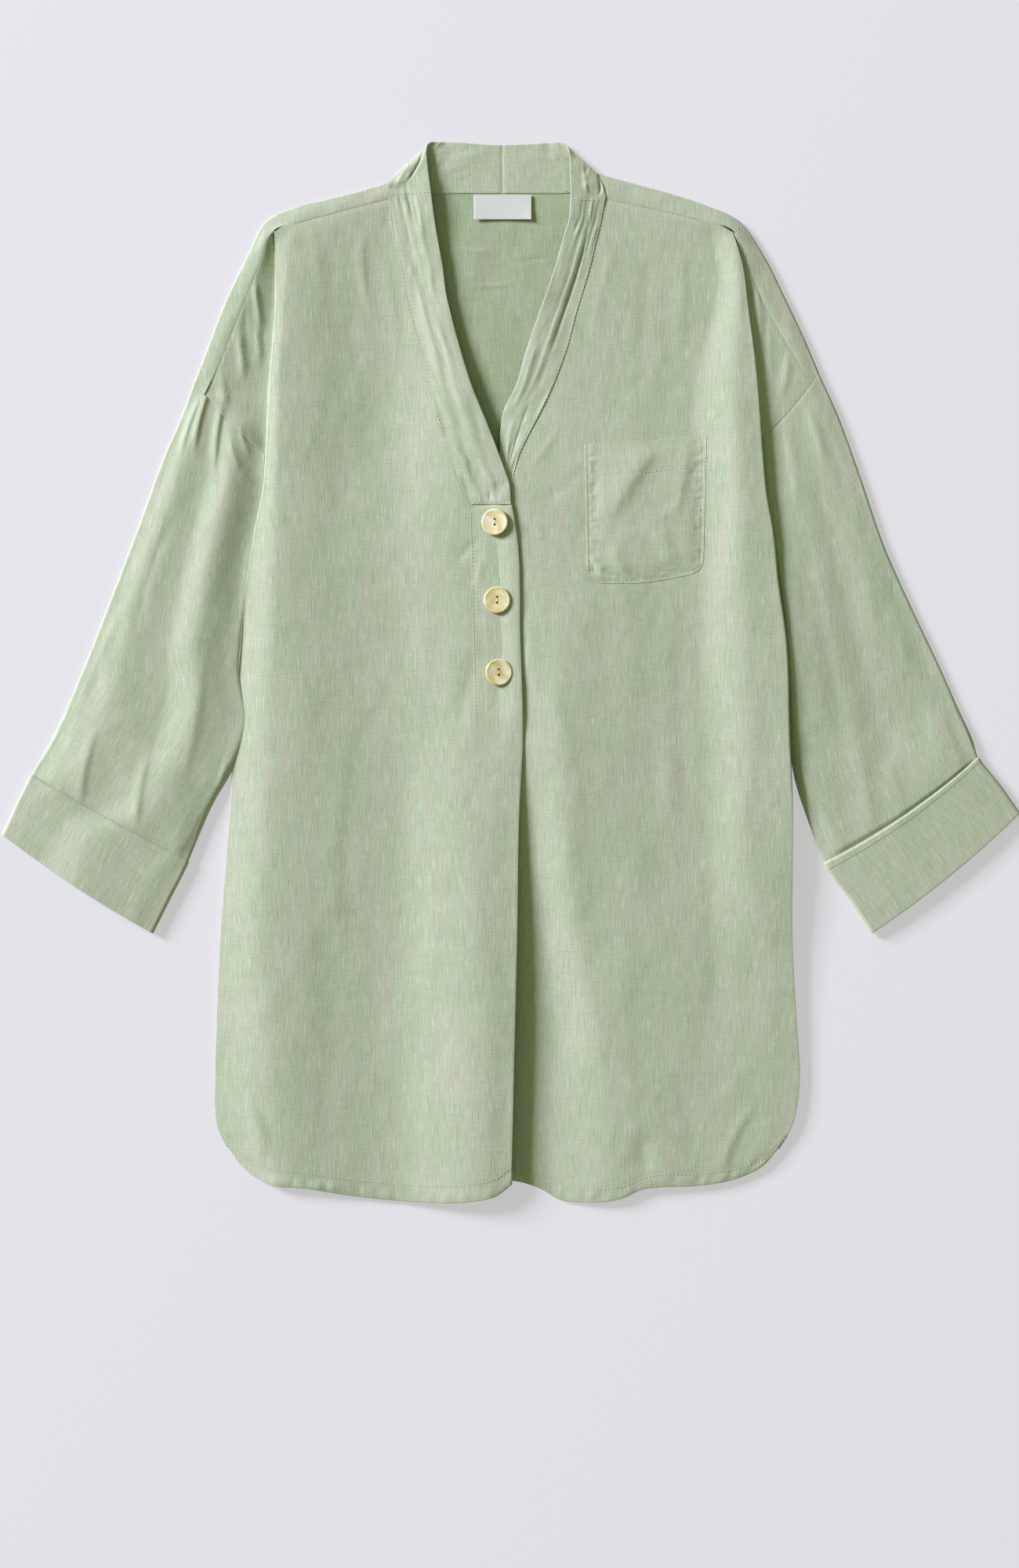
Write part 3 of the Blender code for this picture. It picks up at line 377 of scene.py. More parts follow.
SLEEVE_CREASES_LEFT = (
    (226, 226, 248, 150, -4, 4, 0.5, -0.2),
    (214, 200, 226, 120, -3, 4, 0.4, -0.2),
    (238, 210, 270, 120, -3, 4, -0.35, 0),
    (262, 110, 296, 0, -5, 8, 0.4, -0.1),
    (290, 90, 330, -20, -4, 7, -0.3, 0),
    (240, 60, 256, -60, 4, 8, 0.4, 0.1),
    (224, -70, 252, -146, 3, 1.8, 1.2, -0.2),
    (300, -60, 316, -130, 3, 7, 0.6, 0.1),
    (346, -30, 362, -70, 2, 5, -0.5, 0),
    (268, -40, 284, -140, -3, 7, 0.6, 0.1),
)
BACK_CREASES = (
    (-34, 306, 6, 308, 2, 1.6, 0.35, 0),
    (-60, 290, -36, 291, 1, 1.4, -0.3, 0),
    (-40, 262, 4, 264, -2, 2, 0.35, 0),
    (-30, 222, -4, 224, 1, 1.6, 0.35, 0),
    (-50, 336, -8, 333, 2, 2.2, 0.3, 0),
    (2, 322, 34, 326, -2, 1.8, -0.3, 0),
    (-46, 276, -6, 275, 1, 1.6, -0.35, 0),
    (-24, 246, 8, 244, 2, 1.8, 0.3, 0),
    (-14, 206, 0, 205, 0, 1.6, 0.3, 0),
    (-140, 300, -150, 40, 10, 12, -0.5, 0),
    (120, 260, 136, -60, -12, 12, -0.5, 0),
)
POCKET_CREASES = (
    (118, 182, 76, 116, 3, 9, 1.3, 0.3),
    (138, 178, 128, 118, -2, 5, 0.6, 0.2),
    (104, 128, 146, 150, 4, 6, -0.3, 0),
    (120, 118, 128, 82, 2, 6, 0.5, 0.2),
    (70, 176, 66, 120, 2, 5, -0.35, 0),
    (80, 100, 94, 76, 3, 5, 0.45, 0),
    (62, 92, 76, 80, 2, 2.6, 0.6, 0),
    (60, 84, 70, 76, -1, 1.8, -0.5, 0),
    (140, 158, 152, 156, 0, 1.6, -0.5, 0),
)
# Creases of the stand where it turns at the shoulders.
STAND_CREASES = (
    (-68, 415, -84, 384, -2, 0.8, -1, 0.3),
    (-80, 400, -90, 380, 2, 2, 0.4, 0),
    (66, 396, 69, 374, -3, 1.1, -1.1, 0),
    (61, 397, 61, 376, 2, 1.6, 0.8, 0.2),
    (58, 402, 57, 382, -2, 1.4, -0.6, 0),
)
BAND_CREASES = {
    # place along (0 at the placket, 1 at the shoulder) and across (0 at the free edge, 1 at the
    # seam) of both ends, bow, half width, height and lean, in hundredths of the band
    "right": (
        (2, 66, 30, 78, 5, 9, 0.6, 0.2),
        (5, 30, 26, 50, -5, 10, 0.6, 0.2),
        (18, 72, 44, 46, 4, 9, -0.5, 0),
        (34, 24, 58, 40, 5, 10, 0.5, 0),
        (46, 78, 70, 60, -6, 9, 0.55, 0.2),
        (60, 30, 82, 22, 4, 8, 0.4, 0),
        (66, 52, 92, 66, 4, 8, -0.45, 0.2),
        (76, 40, 98, 30, -4, 7, 0.5, 0.2),
        (40, 60, 48, 92, 2, 3, 0.4, 0),
        (24, 62, 30, 90, -2, 3, 0.35, 0),
        (54, 20, 60, 46, 2, 3, 0.35, 0),
        (0, 52, 7, 40, 2, 2.4, -0.45, 0),
        (0, 30, 7, 38, 2, 2.4, 0.3, 0),
        (0, 74, 6, 66, 2, 2.2, 0.3, 0),
        (92, 62, 99, 80, 1, 2.8, -0.7, 0),
        (91, 45, 99, 62, -1, 2.6, -0.8, 0),
        (89, 32, 99, 46, 1, 2.6, -0.6, 0),
        (84, 52, 97, 60, 2, 5, 0.3, 0),
    ),
    "left": (
        (34, 36, 99, 54, 5, 6, 0.45, 0.4),
        (50, 58, 88, 66, 4, 4, -0.7, 0.3),
        (10, 62, 44, 56, 4, 5, -0.45, 0.2),
        (70, 80, 100, 84, -3, 4, -0.35, 0),
        (0, 40, 34, 24, 6, 8, 0.5, 0.2),
        (34, 28, 60, 18, -4, 6, 0.35, 0.2),
        (74, 34, 98, 24, 4, 7, 0.4, 0.2),
        (86, 20, 100, 38, 3, 4, -0.6, 0),
        (90, 62, 100, 66, -2, 2.8, 0.5, 0),
    ),
    "back": ((10, 40, 60, 60, 6, 12, 0.3, 0.0), (50, 20, 95, 44, -5, 10, -0.3, 0.0)),
}


def stacked(rows, names):
    """Columns of a table side by side."""
    return np.column_stack([rows[name] for name in names.split()])


def smoothstep(t):
    """0 up to t = 0 and 1 from t = 1 on, eased between them."""
    t = np.clip(t, 0, 1)
    return t * t * (3 - 2 * t)


def bell(distance, width):
    """1 in the middle, falling off as exp(-(distance / width)^2)."""
    return np.exp(-((distance / width) ** 2))


def unit(vectors):
    """The vectors at a length of 1."""
    return vectors / np.linalg.norm(vectors, axis=-1, keepdims=True)


def quarter_turn(vectors):
    """Flat vectors turned a quarter to their right."""
    return np.stack([vectors[..., 1], -vectors[..., 0]], axis=-1)


def rightward(line):
    """Unit vectors square to a flat line, towards its right."""
    return unit(quarter_turn(np.gradient(line, axis=0)))


def run_along(points, axis=0):
    """Distance from the first point to each point of a line, or of a grid's rows or columns."""
    steps = np.linalg.norm(np.diff(points, axis=axis), axis=-1)
    return np.cumsum(np.insert(steps, 0, 0, axis=axis), axis=axis)


def spline(knots, values, at):
    """Smooth curve through values (rows) at knots: cubic Hermite with averaged slopes."""
    values = np.asarray(values, float).reshape(len(knots), -1)
    slopes = np.gradient(values, knots, axis=0)
    at = np.asarray(at, float)
    i = np.clip(np.searchsorted(knots, at, side="right") - 1, 0, len(knots) - 2)
    step = (knots[i + 1] - knots[i])[..., None]
    t = (at - knots[i])[..., None] / step
    start = values[i] * (2 * t**3 - 3 * t**2 + 1) + slopes[i] * step * (t**3 - 2 * t**2 + t)
    return start + values[i + 1] * (3 * t**2 - 2 * t**3) + slopes[i + 1] * step * (t**3 - t**2)


def read(rows, names, at, key="y"):
    """Columns of a table, read smoothly at the given keys and level past its ends."""
    at = np.clip(at, rows[key][0], rows[key][-1])
    return [spline(rows[key], rows[name], at)[..., 0] for name in names.split()]


def curve(points):
    """A smooth curve through the points, as a function of 0..1 along its length."""
    knots = run_along(points)
    return lambda t: spline(knots / knots[-1], points, t)


def joined(first, second, at):
    """One function of 0..1 that follows first up to at and second after it."""

    def both(t):
        t = np.asarray(t, float)
        low = first(np.clip(t / at, 0, 1))
        high = second(np.clip((t - at) / (1 - at), 0, 1))
        return np.where((t < at)[..., None], low, high)

    return both


def coons(bottom, top, left, right, u, v):
    """The patch between four edge curves, at the grid u, v: the two ruled surfaces less the
    bilinear one through the corners."""
    corner = bottom(0.0), bottom(1.0), top(0.0), top(1.0)
    a, b = u[..., None], v[..., None]
    ruled = (1 - b) * bottom(u) + b * top(u) + (1 - a) * left(v) + a * right(v)
    low = (1 - b) * ((1 - a) * corner[0] + a * corner[1])
    return ruled - low - b * ((1 - a) * corner[2] + a * corner[3])


def terrace(x, places, heights):
    """Height across the cloth: level at each place, easing by smoothstep to the next one."""
    height = np.broadcast_to(heights[0], np.shape(x)).astype(float)
    for here, there, low, high in zip(places, places[1:], heights, heights[1:]):
        height = height + (high - low) * smoothstep((x - here) / (there - here))
    return height


def creases(rows, x, y):
    """Sum of the listed folds. Across its bowed line each is a bell, wider on the side it leans
    to; along the line it fades in and out by smoothstep."""
    height = np.zeros(np.shape(x))
    for x0, y0, x1, y1, bow, width, lift, lean in rows:
        length = math.hypot(x1 - x0, y1 - y0)
        along = ((x - x0) * (x1 - x0) + (y - y0) * (y1 - y0)) / length**2
        across = ((x - x0) * (y1 - y0) - (y - y0) * (x1 - x0)) / length
        inside = np.clip(along, 0, 1)
        across = across - bow * 4 * inside * (1 - inside)
        fade = smoothstep(along / 0.35) * smoothstep((1 - along) / 0.35)
        height = height + lift * fade * bell(across, width * (1 + lean * np.sign(across)))
    return height


def ripple(x, y, size_x, size_y, height, seed):
    """Smooth seeded waviness: random heights on a coarse grid, eased between its points."""
    field = np.random.default_rng(seed).uniform(-1, 1, (64, 64))
    a, b = x / size_x + 17.3, y / size_y + 29.7
    i, j = np.floor(a).astype(int), np.floor(b).astype(int)
    s, t = smoothstep(a - i), smoothstep(b - j)
    low = field[i % 64, j % 64] * (1 - s) + field[(i + 1) % 64, j % 64] * s
    high = field[i % 64, (j + 1) % 64] * (1 - s) + field[(i + 1) % 64, (j + 1) % 64] * s
    return height * (low * (1 - t) + high * t)


def rumple(x, y, seed):
    """The faint unevenness of washed linen: long soft waves and short low ones."""
    broad = ripple(x, y, 26, 60, 0.35, seed) + ripple(x, y, 13, 22, 0.16, seed + 1)
    return broad + ripple(x, y, 6, 9, 0.07, seed + 2)


# Heights of the fronts, which their own pieces and those that lie on them share


def front_right_height(x, y):
    """The right front's folds, raised a little where the placket's layers lie."""
    reach, *places = read(FOLDS_RIGHT, "reach crest_x low_x rise_x", y)
    lap = np.maximum(np.interp(y, BODY["y"], BODY["centre"]), places[-1] + 10)
    places = [np.interp(y, BODY["y"], BODY["right"]) - reach, *places, lap]
    height = terrace(x, places, read(FOLDS_RIGHT, "edge_z crest_z low_z rise_z lap_z", y))
    placket = smoothstep((y - PLACKET_FOOT) / 30) * smoothstep((PLACKET_TOP - y) / 25)
    height = height + PLACKET_RAISE * placket * smoothstep((x - lap + 21) / 20)
    return height + creases(CREASES_RIGHT, x, y) + rumple(x, y, 11)


def front_left_height(x, y):
    """Low below the lap, up the pleat's slope to its crest, then the front's own folds."""
    places = read(FOLDS_LEFT, "foot_x crest_x low_x ridge_x", y)
    places.append(np.maximum(np.interp(y, BODY["y"], BODY["left"]) - SIDE_ROLL, places[-1] + 4))
    foot, *heights = read(FOLDS_LEFT, "foot_z crest_z low_z ridge_z edge_z", y)
    opened = smoothstep((y - NECK_OPENS) / NECK_OPEN_RUN)
    height = terrace(x, places, [foot + (heights[0] - foot) * opened, *heights])
    (neck,) = read(EDGE_LEFT, "x", np.maximum(y, NECK_FOOT))
    height = height + COLLAR_LIFT * opened * bell(x - neck, COLLAR_REACH)
    free = smoothstep((x - places[0] + 4) / 12)
    return height + free * (creases(CREASES_LEFT, x, y) + rumple(x, y, 23))


# What differs between the garment's two sides. The sign is that of x on the side.
RIGHT = SimpleNamespace(
    name="right",
    sign=-1,
    columns=106,
    lip=LIP_RIGHT,
    height=front_right_height,
    hem=HEM_RIGHT,
    edge=EDGE_RIGHT,
    shoulder=SHOULDER_RIGHT,
    sleeve=SLEEVE_RIGHT,
    lie=LIE_RIGHT,
    creases=SHOULDER_CREASES_RIGHT + SLEEVE_CREASES_RIGHT,
    band=BAND_RIGHT,
    stand=STAND_RIGHT,
)
LEFT = SimpleNamespace(
    name="left",
    sign=1,
    columns=112,
    lip=LIP_LEFT,
    height=front_left_height,
    hem=HEM_LEFT,
    edge=EDGE_LEFT,
    shoulder=SHOULDER_LEFT,
    sleeve=SLEEVE_LEFT,
    lie=LIE_LEFT,
    creases=SHOULDER_CREASES_LEFT + SLEEVE_CREASES_LEFT,
    band=BAND_LEFT,
    stand=STAND_LEFT,
)


def pocket_bottom(u, x, inner, outer):
    """y of the pocket's lower edge, a share u across it."""
    near = np.clip(1 - np.minimum((x - inner) / POCKET_CORNER, (outer - x) / POCKET_CORNER * 1.4), 0, 1)
    corner = POCKET_CORNER * (1 - np.sqrt(1 - near**2)) * np.where(u < 0.5, 1.0, 0.7)
    return POCKET_BOTTOM + corner + POCKET_DRAWN_UP * np.clip((u - 0.36) / 0.64, 0, 1) ** 1.6


def under_pocket(x, y):
    """1 below the middle of the pocket, eased to 0 at its stitched edge."""
    u = np.clip((x - POCKET_LOW_INNER) / (POCKET_LOW_OUTER - POCKET_LOW_INNER), 0, 1)
    above = y - pocket_bottom(u, x, POCKET_LOW_INNER, POCKET_LOW_OUTER)
    inside = np.minimum(np.minimum(x - POCKET_LOW_INNER, POCKET_TOP_OUTER - x) - 2.5, above)
    inside = np.minimum(inside, POCKET_TOP - POCKET_SLANT - y) - 2.0
    return smoothstep(inside / 4)


def under_band(side, x, y):
    """0 on the open front and 1 below the collar's band, eased just inside the band's seam."""
    seam = np.interp(y, side.band["seam_y"], side.band["seam_x"])
    inside = smoothstep((side.sign * (seam - x) - 0.4) / 3)
    return inside * smoothstep((y - side.band["seam_y"][0]) / 3)


# Sleeves


def section_ends(side, t):
    """The sleeve's section at t: its ends on the outer and inner fold, and its bow."""
    row = spline(side.sleeve["t"], stacked(side.sleeve, "outer_x outer_y inner_x inner_y bow"), t)
    return row[..., :2], row[..., 2:4], row[..., 4]


def section_way(outer, inner):
    """Unit vectors along the table, square to the sections and towards the sleeve's mouth."""
    way = quarter_turn(unit(inner - outer))
    return np.where(way[..., 1:] < 0, way, -way)


def section_points(side, s, t):
    """Points across the sleeve: straight from fold to fold, bowed towards the mouth."""
    outer, inner, bow = section_ends(side, t)
    s = np.asarray(s, float)[..., None]
    return outer + s * (inner - outer) + 4 * bow[..., None] * s * (1 - s) * section_way(outer, inner)


def armhole(side, s, towards_body=0.0):
    """The armhole seam from the shoulder fold (s = 0) to the underarm (s = 1)."""
    outer, inner, _ = section_ends(side, np.zeros(1))
    start = section_points(side, s, np.zeros(np.shape(s)))
    return start - towards_body * section_way(outer, inner)[0]


def sleeve_creases(side, x, y):
    """Creases that run from the dropped shoulder over the armhole seam and down the sleeve."""
    return creases(side.creases, x, y) + rumple(x, y, 61)


def sleeve_form(side, s, t):
    """Height of the sleeve's upper face, without the cuff and the creases: its folds lie above
    the fold's radius, and it swells just above the cuff."""
    level = 0.0 * t
    places = [level, *read(side.lie, "ridge hollow main inner", t, "t"), level + 1]
    heights = [level, *read(side.lie, "ridge_z hollow_z main_z inner_z", t, "t"), level]
    rise = smoothstep((t - CUFF_START + 0.22) / 0.2)
    swell = smoothstep((CUFF_START - t) / 0.009) * smoothstep(np.minimum(s, 1 - s) / 0.12)
    return terrace(s, places, heights) + 2 * FOLD + rise * (CUFF_RAISE + CUFF_PUFF * swell)


def sleeve_top(side, s, t):
    """Height of the sleeve's upper face, without the cuff."""
    x, y = np.moveaxis(section_points(side, s, t), -1, 0)
    ends = smoothstep(np.minimum(s, 1 - s) / 0.08)
    loose = 1 - 0.8 * smoothstep((t - CUFF_START) / 0.03)
    groove = SEAM_GROOVE * bell(t * SLEEVE_LENGTH, SEAM_GROOVE_WIDTH)
    return sleeve_form(side, s, t) + ends * loose * sleeve_creases(side, x, y) - groove


def sleeve_points(side, t, grow):
    """The flattened tube, section by section, at the stations t, grown outwards by grow: each
    starts at the outer fold, runs along the lower layer, round the inner fold and back along
    the upper one."""
    outer, inner, _ = section_ends(side, t)
    length = np.linalg.norm(inner - outer, axis=1)[:, None]
    way = (inner - outer) / length
    radius = (FOLD + grow)[:, None]
    covered = smoothstep((t - CUFF_START + 0.07) / 0.05)
    lift = (CUFF_RAISE * covered - grow)[:, None]
    margin = FOLD / length
    low = np.linspace(0, 1, 24) * (1 - 2 * margin) + margin
    high = np.linspace(1, 0, 100) * (1 - 2 * margin) + margin
    turns = np.radians(np.linspace(0, 180, 9)[1:-1])[None]

    def placed(s, height):
        return np.dstack([section_points(side, s, np.repeat(t[:, None], s.shape[1], 1)), height])

    def fold(end, sign, angles):
        centre = section_points(side, end, t[:, None])
        where = centre + way[:, None] * (sign * radius * np.sin(angles))[..., None]
        return np.dstack([where, lift + radius * (1 - np.cos(angles))])

    t_grid = np.repeat(t[:, None], high.shape[1], 1)
    top = placed(high, sleeve_top(side, high, t_grid) + grow[:, None])
    bottom = placed(low, lift + 0 * low)
    return np.concatenate([bottom, fold(1 - margin, 1, turns), top, fold(margin, -1, turns[:, ::-1])], 1)


# Fronts


def side_roll(y):
    """Radius of the fold down the body's side: it flattens towards the hem and the shoulder."""
    return SIDE_ROLL * (0.25 + 0.6 * smoothstep((y + 130) / 60) * smoothstep((230 - y) / 60))


def shoulder_seam(side, t):
    """The forward shoulder seam: armhole at 0, shoulder's corner at a half, neck at 1."""
    points = stacked(side.shoulder, "seam_x seam_y seam_z")
    points[0, :2] = armhole(side, SEAM_ON_ARMHOLE, 0.2)
    return spline(np.linspace(0, 1, len(points)), points, t)


def turned_under(points, radius, depth):
    """Columns that turn the first column's edge under: a half circle of the given radius out
    from the edge, then the neighbouring columns again, lowered, for about the given depth."""
    edge = points[:, 0]
    out = unit((edge - points[:, 1]) * [1, 1, 0])
    angles = np.radians(np.linspace(150, 30, 5))
    roll = np.stack([edge + radius * math.sin(a) * out for a in angles], axis=1)
    roll[..., 2] -= radius * (1 - np.cos(angles))
    steps = np.linalg.norm(np.diff(points[:, :, :2], axis=1), axis=2).mean(axis=0)
    count = int(np.searchsorted(np.cumsum(steps), depth)) + 1
    under = points[:, count::-1].copy()
    under[..., 2] -= 2 * radius
    return np.concatenate([under, roll, points], axis=1)


def body_edge(x, start, end):
    """The body's side as a curve from start to end, by way of the outline's points between."""
    rows = (BODY["y"] > start[1] + 5) & (BODY["y"] < end[1] - 5)
    return curve(np.vstack([start, np.column_stack([x, BODY["y"]])[rows], end]))


def front_outline(side, seam):
    """The edges of a front as curves: its hem, its neck and shoulder seam, its inner edge, and
    the crest of its side fold, which has the underarm at UNDERARM_V."""
    fold_x = BODY[side.name] - side.sign * side_roll(BODY["y"])
    hem, inner = stacked(side.hem, "x y"), stacked(side.edge, "x y")
    hem[-1, 0] -= side.sign * side_roll(hem[-1, 1])
    underarm = side.sleeve["inner_y"][0]
    underarm = np.array([np.interp(underarm, BODY["y"], fold_x), underarm])
    corner = seam[-1, :2] - [side.sign * SIDE_ROLL, 0.1]
    low, high = body_edge(fold_x, hem[-1], underarm), body_edge(fold_x, underarm, corner)
    top = np.vstack([inner[-1], seam[:-1, :2] - [0, 0.1], corner])
    return curve(hem), curve(top), curve(inner), joined(low, high, UNDERARM_V)


def front_points(side):
    """A front's upper face: the patch between hem, lap, neck and side fold at the height of its
    folds, then down the side fold and, above the underarm, out over the dropped shoulder."""
    seam = shoulder_seam(side, np.linspace(1, 0.5, 9))
    v = np.append(np.linspace(0, UNDERARM_V, 195)[:-1], np.linspace(UNDERARM_V, 1, 78))
    u, v = np.meshgrid(np.linspace(0, 1, side.columns), v)
    flat = coons(*front_outline(side, seam), u, v)
    x, y = np.moveaxis(flat, -1, 0)
    sunk = SUNK * under_band(side, x, y)
    if side is LEFT:
        sunk = sunk + POCKET_SUNK * under_pocket(x, y)
    main = np.dstack([flat, side.height(x, y) - sunk])
    drape_hem(main, v)
    join_seam(main, seam)
    above = smoothstep((y[:, -1] - side.sleeve["inner_y"][0] + 4) / 12)
    roll = side_fold(side, main[:, -1], above)
    lip = dropped_shoulder(side, roll[:, -1], above)
    body = np.concatenate([main, roll, lip], axis=1)
    if side is RIGHT:
        body = turned_under(body, EDGE_FOLD, 14.0)
    hemmed = turned_under(body.swapaxes(0, 1), EDGE_FOLD, HEM).swapaxes(0, 1)
    hemmed[..., 2] = np.maximum(hemmed[..., 2], LAYER)
    return hemmed


def drape_hem(main, v):
    """The stitched line above the hem: a shallow trough, and the hem's edge eased down."""
    above = v * np.linalg.norm(main[-1, 0] - main[0, 0])
    wave = ripple(main[..., 0], main[..., 1], 5, 40, 0.5, 91)
    main[..., 2] -= 0.5 * bell(above, 7) + bell(above - HEM, 1.6) * (0.35 + wave * 0.5)
    main[..., 2] += wave * bell(above - 5, 4)


def join_seam(main, seam):
    """Brings the last rows to the shoulder seam's own height, over about 12 mm."""
    order = np.argsort(seam[:, 0])
    target = np.interp(main[..., 0], seam[order, 0], seam[order, 2])
    below = np.interp(main[..., 0], seam[order, 0], seam[order, 1]) - main[..., 1]
    near = smoothstep(1 - below / 12)
    main[..., 2] += (target - main[..., 2]) * near - SEAM_GROOVE * smoothstep(1 - below / 1.5)


def side_fold(side, crest, above):
    """Columns from the crest of the side fold round and down to its foot: on the table, on the
    sleeve or, above the underarm, beside the dropped shoulder."""
    on_sleeve = smoothstep((crest[:, 1] - SLEEVE_UNDER_SIDE) / 40)
    foot = SIDE_FOOT + (SIDE_ON_SLEEVE - SIDE_FOOT) * on_sleeve
    foot = foot + (side.lip - foot) * above
    radius = side_roll(crest[:, 1])
    out = side.sign * radius[:, None] * rightward(crest[:, :2])
    fall = np.minimum(radius, crest[:, 2] - foot)
    roll = [
        np.column_stack([crest[:, :2] + out * math.sin(a), crest[:, 2] - fall * (1 - math.cos(a))])
        for a in np.radians(np.linspace(15, 90, 6))
    ]
    wall = np.array([0, 0, 1]) * (foot - roll[-1][:, 2])[:, None]
    roll += [roll[-1] + wall / 2, roll[-1] + wall]
    return np.stack(roll, axis=1)


def dropped_shoulder(side, start, above):
    """Columns from the side fold's foot out to the armhole seam and the shoulder seam."""
    ends = lip_ends(side, start)
    share = np.append(np.linspace(0, 0.955, 19)[1:], [0.985, 1.0])
    lip = start[:, None] + (ends - start)[:, None] * share[:, None]
    lip[..., 2] = start[:, 2:] + (ends - start)[:, 2:] * (smoothstep(share) + share) / 2
    wide = np.linalg.norm(ends - start, axis=1)[:, None]
    groove = SEAM_GROOVE * bell((1 - share) * wide, SEAM_GROOVE_WIDTH)
    underarm, turn = side.sleeve["inner_y"][0], shoulder_seam(side, np.zeros(1))[0, 1]
    on_armhole = smoothstep((ends[:, 1:2] - underarm) / 8) * smoothstep((turn - ends[:, 1:2]) / 16)
    at_seam = smoothstep((1 - share) / 0.3)
    free_end = at_seam + (1 - at_seam) * on_armhole
    raised = sleeve_creases(side, lip[..., 0], lip[..., 1]) * smoothstep(share / 0.3) * free_end
    lip[..., 2] += above[:, None] * (raised - groove)
    return lip


def lip_ends(side, start):
    """Where each row of a front ends: at its foot, the armhole seam or the shoulder seam."""
    line = shoulder_seam(side, np.linspace(0, 0.5, 60))
    underarm, turn, top = side.sleeve["inner_y"][0], line[0, 1], line[-1, 1]
    y = start[:, 1]
    s = np.interp(y, [underarm, turn], [0.98, SEAM_ON_ARMHOLE])
    seam_x, seam_z = np.interp(y, line[:, 1], line[:, 0]), np.interp(y, line[:, 1], line[:, 2])
    ends = np.where((y > turn)[:, None], np.column_stack([seam_x, y]), armhole(side, s, 0.1))
    height = np.where(y > turn, seam_z, sleeve_form(side, s, np.zeros(len(s))))
    level = (y <= underarm + 1) | (y >= top - 0.5)
    ends = np.where(level[:, None], start[:, :2] + [side.sign * 0.1, 0], ends)
    return np.column_stack([ends, np.where(y <= underarm + 1, start[:, 2], height)])


# Back


def back_side(side, corner):
    """One side of the back from the hem's corner to the armhole's top, just inside the front."""
    underarm = armhole(side, 1.0, 0.4) - [side.sign, 0]
    inset = 1.5 + 2.5 * smoothstep((BODY["y"] + 120) / 60)
    low = body_edge(BODY[side.name] - side.sign * inset, corner, underarm)
    return joined(low, curve(armhole(side, np.linspace(1, 0.025, 5), 0.4)), UNDERARM_BACK)


def back_points():
    """The back's outer face: flat on the table between its hem, sides and neck seam, and the
    strips that carry its upper edge round each shoulder's fold to the seam on the front."""
    hems = [stacked(side.hem, "x y")[3:] - [2 * side.sign, 0] for side in (RIGHT, LEFT)]
    hem = np.vstack([hems[0][::-1], [(-22, -409), (5, -403)], hems[1]]) + [0, 3.5]
    right_side, left_side = back_side(RIGHT, hem[0]), back_side(LEFT, hem[-1])
    right_fold, left_fold = (
        stacked(side.shoulder, "fold_x fold_y")[:: -side.sign] for side in (RIGHT, LEFT)
    )
    right_fold += FOLD * rightward(right_fold)
    left_fold += FOLD * rightward(left_fold)
    right_fold[0], left_fold[-1] = right_side(1.0), left_side(1.0)
    neck = stacked(NECK, "x y")
    neck[0], neck[-1] = right_fold[-1], left_fold[0]
    at = shoulder_stations()
    across_neck = curve(neck)(np.linspace(0, 1, 56))[1:-1]
    top = np.vstack([curve(right_fold)(at), across_neck, curve(left_fold)(1 - at[::-1])])
    share = np.linspace(0, 1, len(top))
    v = np.append(np.linspace(0, UNDERARM_BACK, 100)[:-1], np.linspace(UNDERARM_BACK, 1, 70))
    u, v = np.meshgrid(share, v)

    def top_edge(t):
        return np.stack([np.interp(t, share, c) for c in top.T], axis=-1)

    flat = coons(curve(hem), top_edge, right_side, left_side, u, v)
    x, y = np.moveaxis(flat, -1, 0)
    inside = smoothstep(np.minimum(u, 1 - u) / 0.06) * smoothstep((1 - v) / 0.04) * smoothstep(v / 0.03)
    lie = np.maximum(creases(BACK_CREASES, x, y) + rumple(x, y, 37) + 0.25, 0) * inside
    sheet = np.dstack([flat, lie])
    right_strip = shoulder_strip(RIGHT, sheet[-1, : len(at)])
    return sheet, right_strip, shoulder_strip(LEFT, sheet[-1, -len(at) :])


def shoulder_stations():
    """Places along a shoulder from the armhole to the collar, with a narrow first column."""
    return np.append([0.0, 0.0012], np.linspace(0.014, 1.0, 68))


def shoulder_strip(side, edge):
    """Rows that carry the back's edge up round the shoulder fold and down to the seam, where
    their end beside the armhole is laid on the sleeve's own edge."""
    seam = shoulder_seam(side, shoulder_stations()[:: -side.sign])
    outward = -rightward(edge[:, :2])
    angles = np.radians(np.linspace(0, 180, 11)[1:, None])
    x, y = (edge[:, i] + FOLD * np.sin(angles) * outward[:, i] for i in (0, 1))
    fold = np.dstack([x, y, FOLD * (1 - np.cos(angles)) + 0 * x])
    share = np.append(np.linspace(0, 0.92, 9)[1:], [0.98, 1.0])[:, None]
    across = fold[-1] + (seam - fold[-1]) * share[..., None]
    bulge = np.sin(math.pi * share)
    across[..., 2] += 0.3 * bulge + ripple(across[..., 0], across[..., 1], 8, 9, 0.3, 53) * bulge
    across[..., 2] -= SEAM_GROOVE * smoothstep((share - 0.9) / 0.1)
    last = -1 if side is LEFT else 0
    s = 0.025 + share[:, 0] * (SEAM_ON_ARMHOLE - 0.025)
    away = np.linalg.norm(edge[:, :2] - edge[last, :2], axis=1)
    shift = armhole(side, s, 0.1) - across[:, last, :2]
    level = sleeve_top(side, s, np.zeros(len(s))) - across[:, last, 2]
    across[..., :2] += shift[:, None] * bell(away, 5)[:, None]
    across[..., 2] += level[:, None] * bell(away, 18)
    return np.concatenate([fold, across])


# Meshes


def ring_grain(points, start):
    """Grain of a tube: around it by distance, and along it from the given start."""
    across = run_along(np.concatenate([points, points[:, :1]], axis=1), 1)
    along = start + run_along(points.mean(axis=1))
    return np.dstack([across - across[:, -1:] / 2, np.repeat(along[:, None], across.shape[1], 1)])


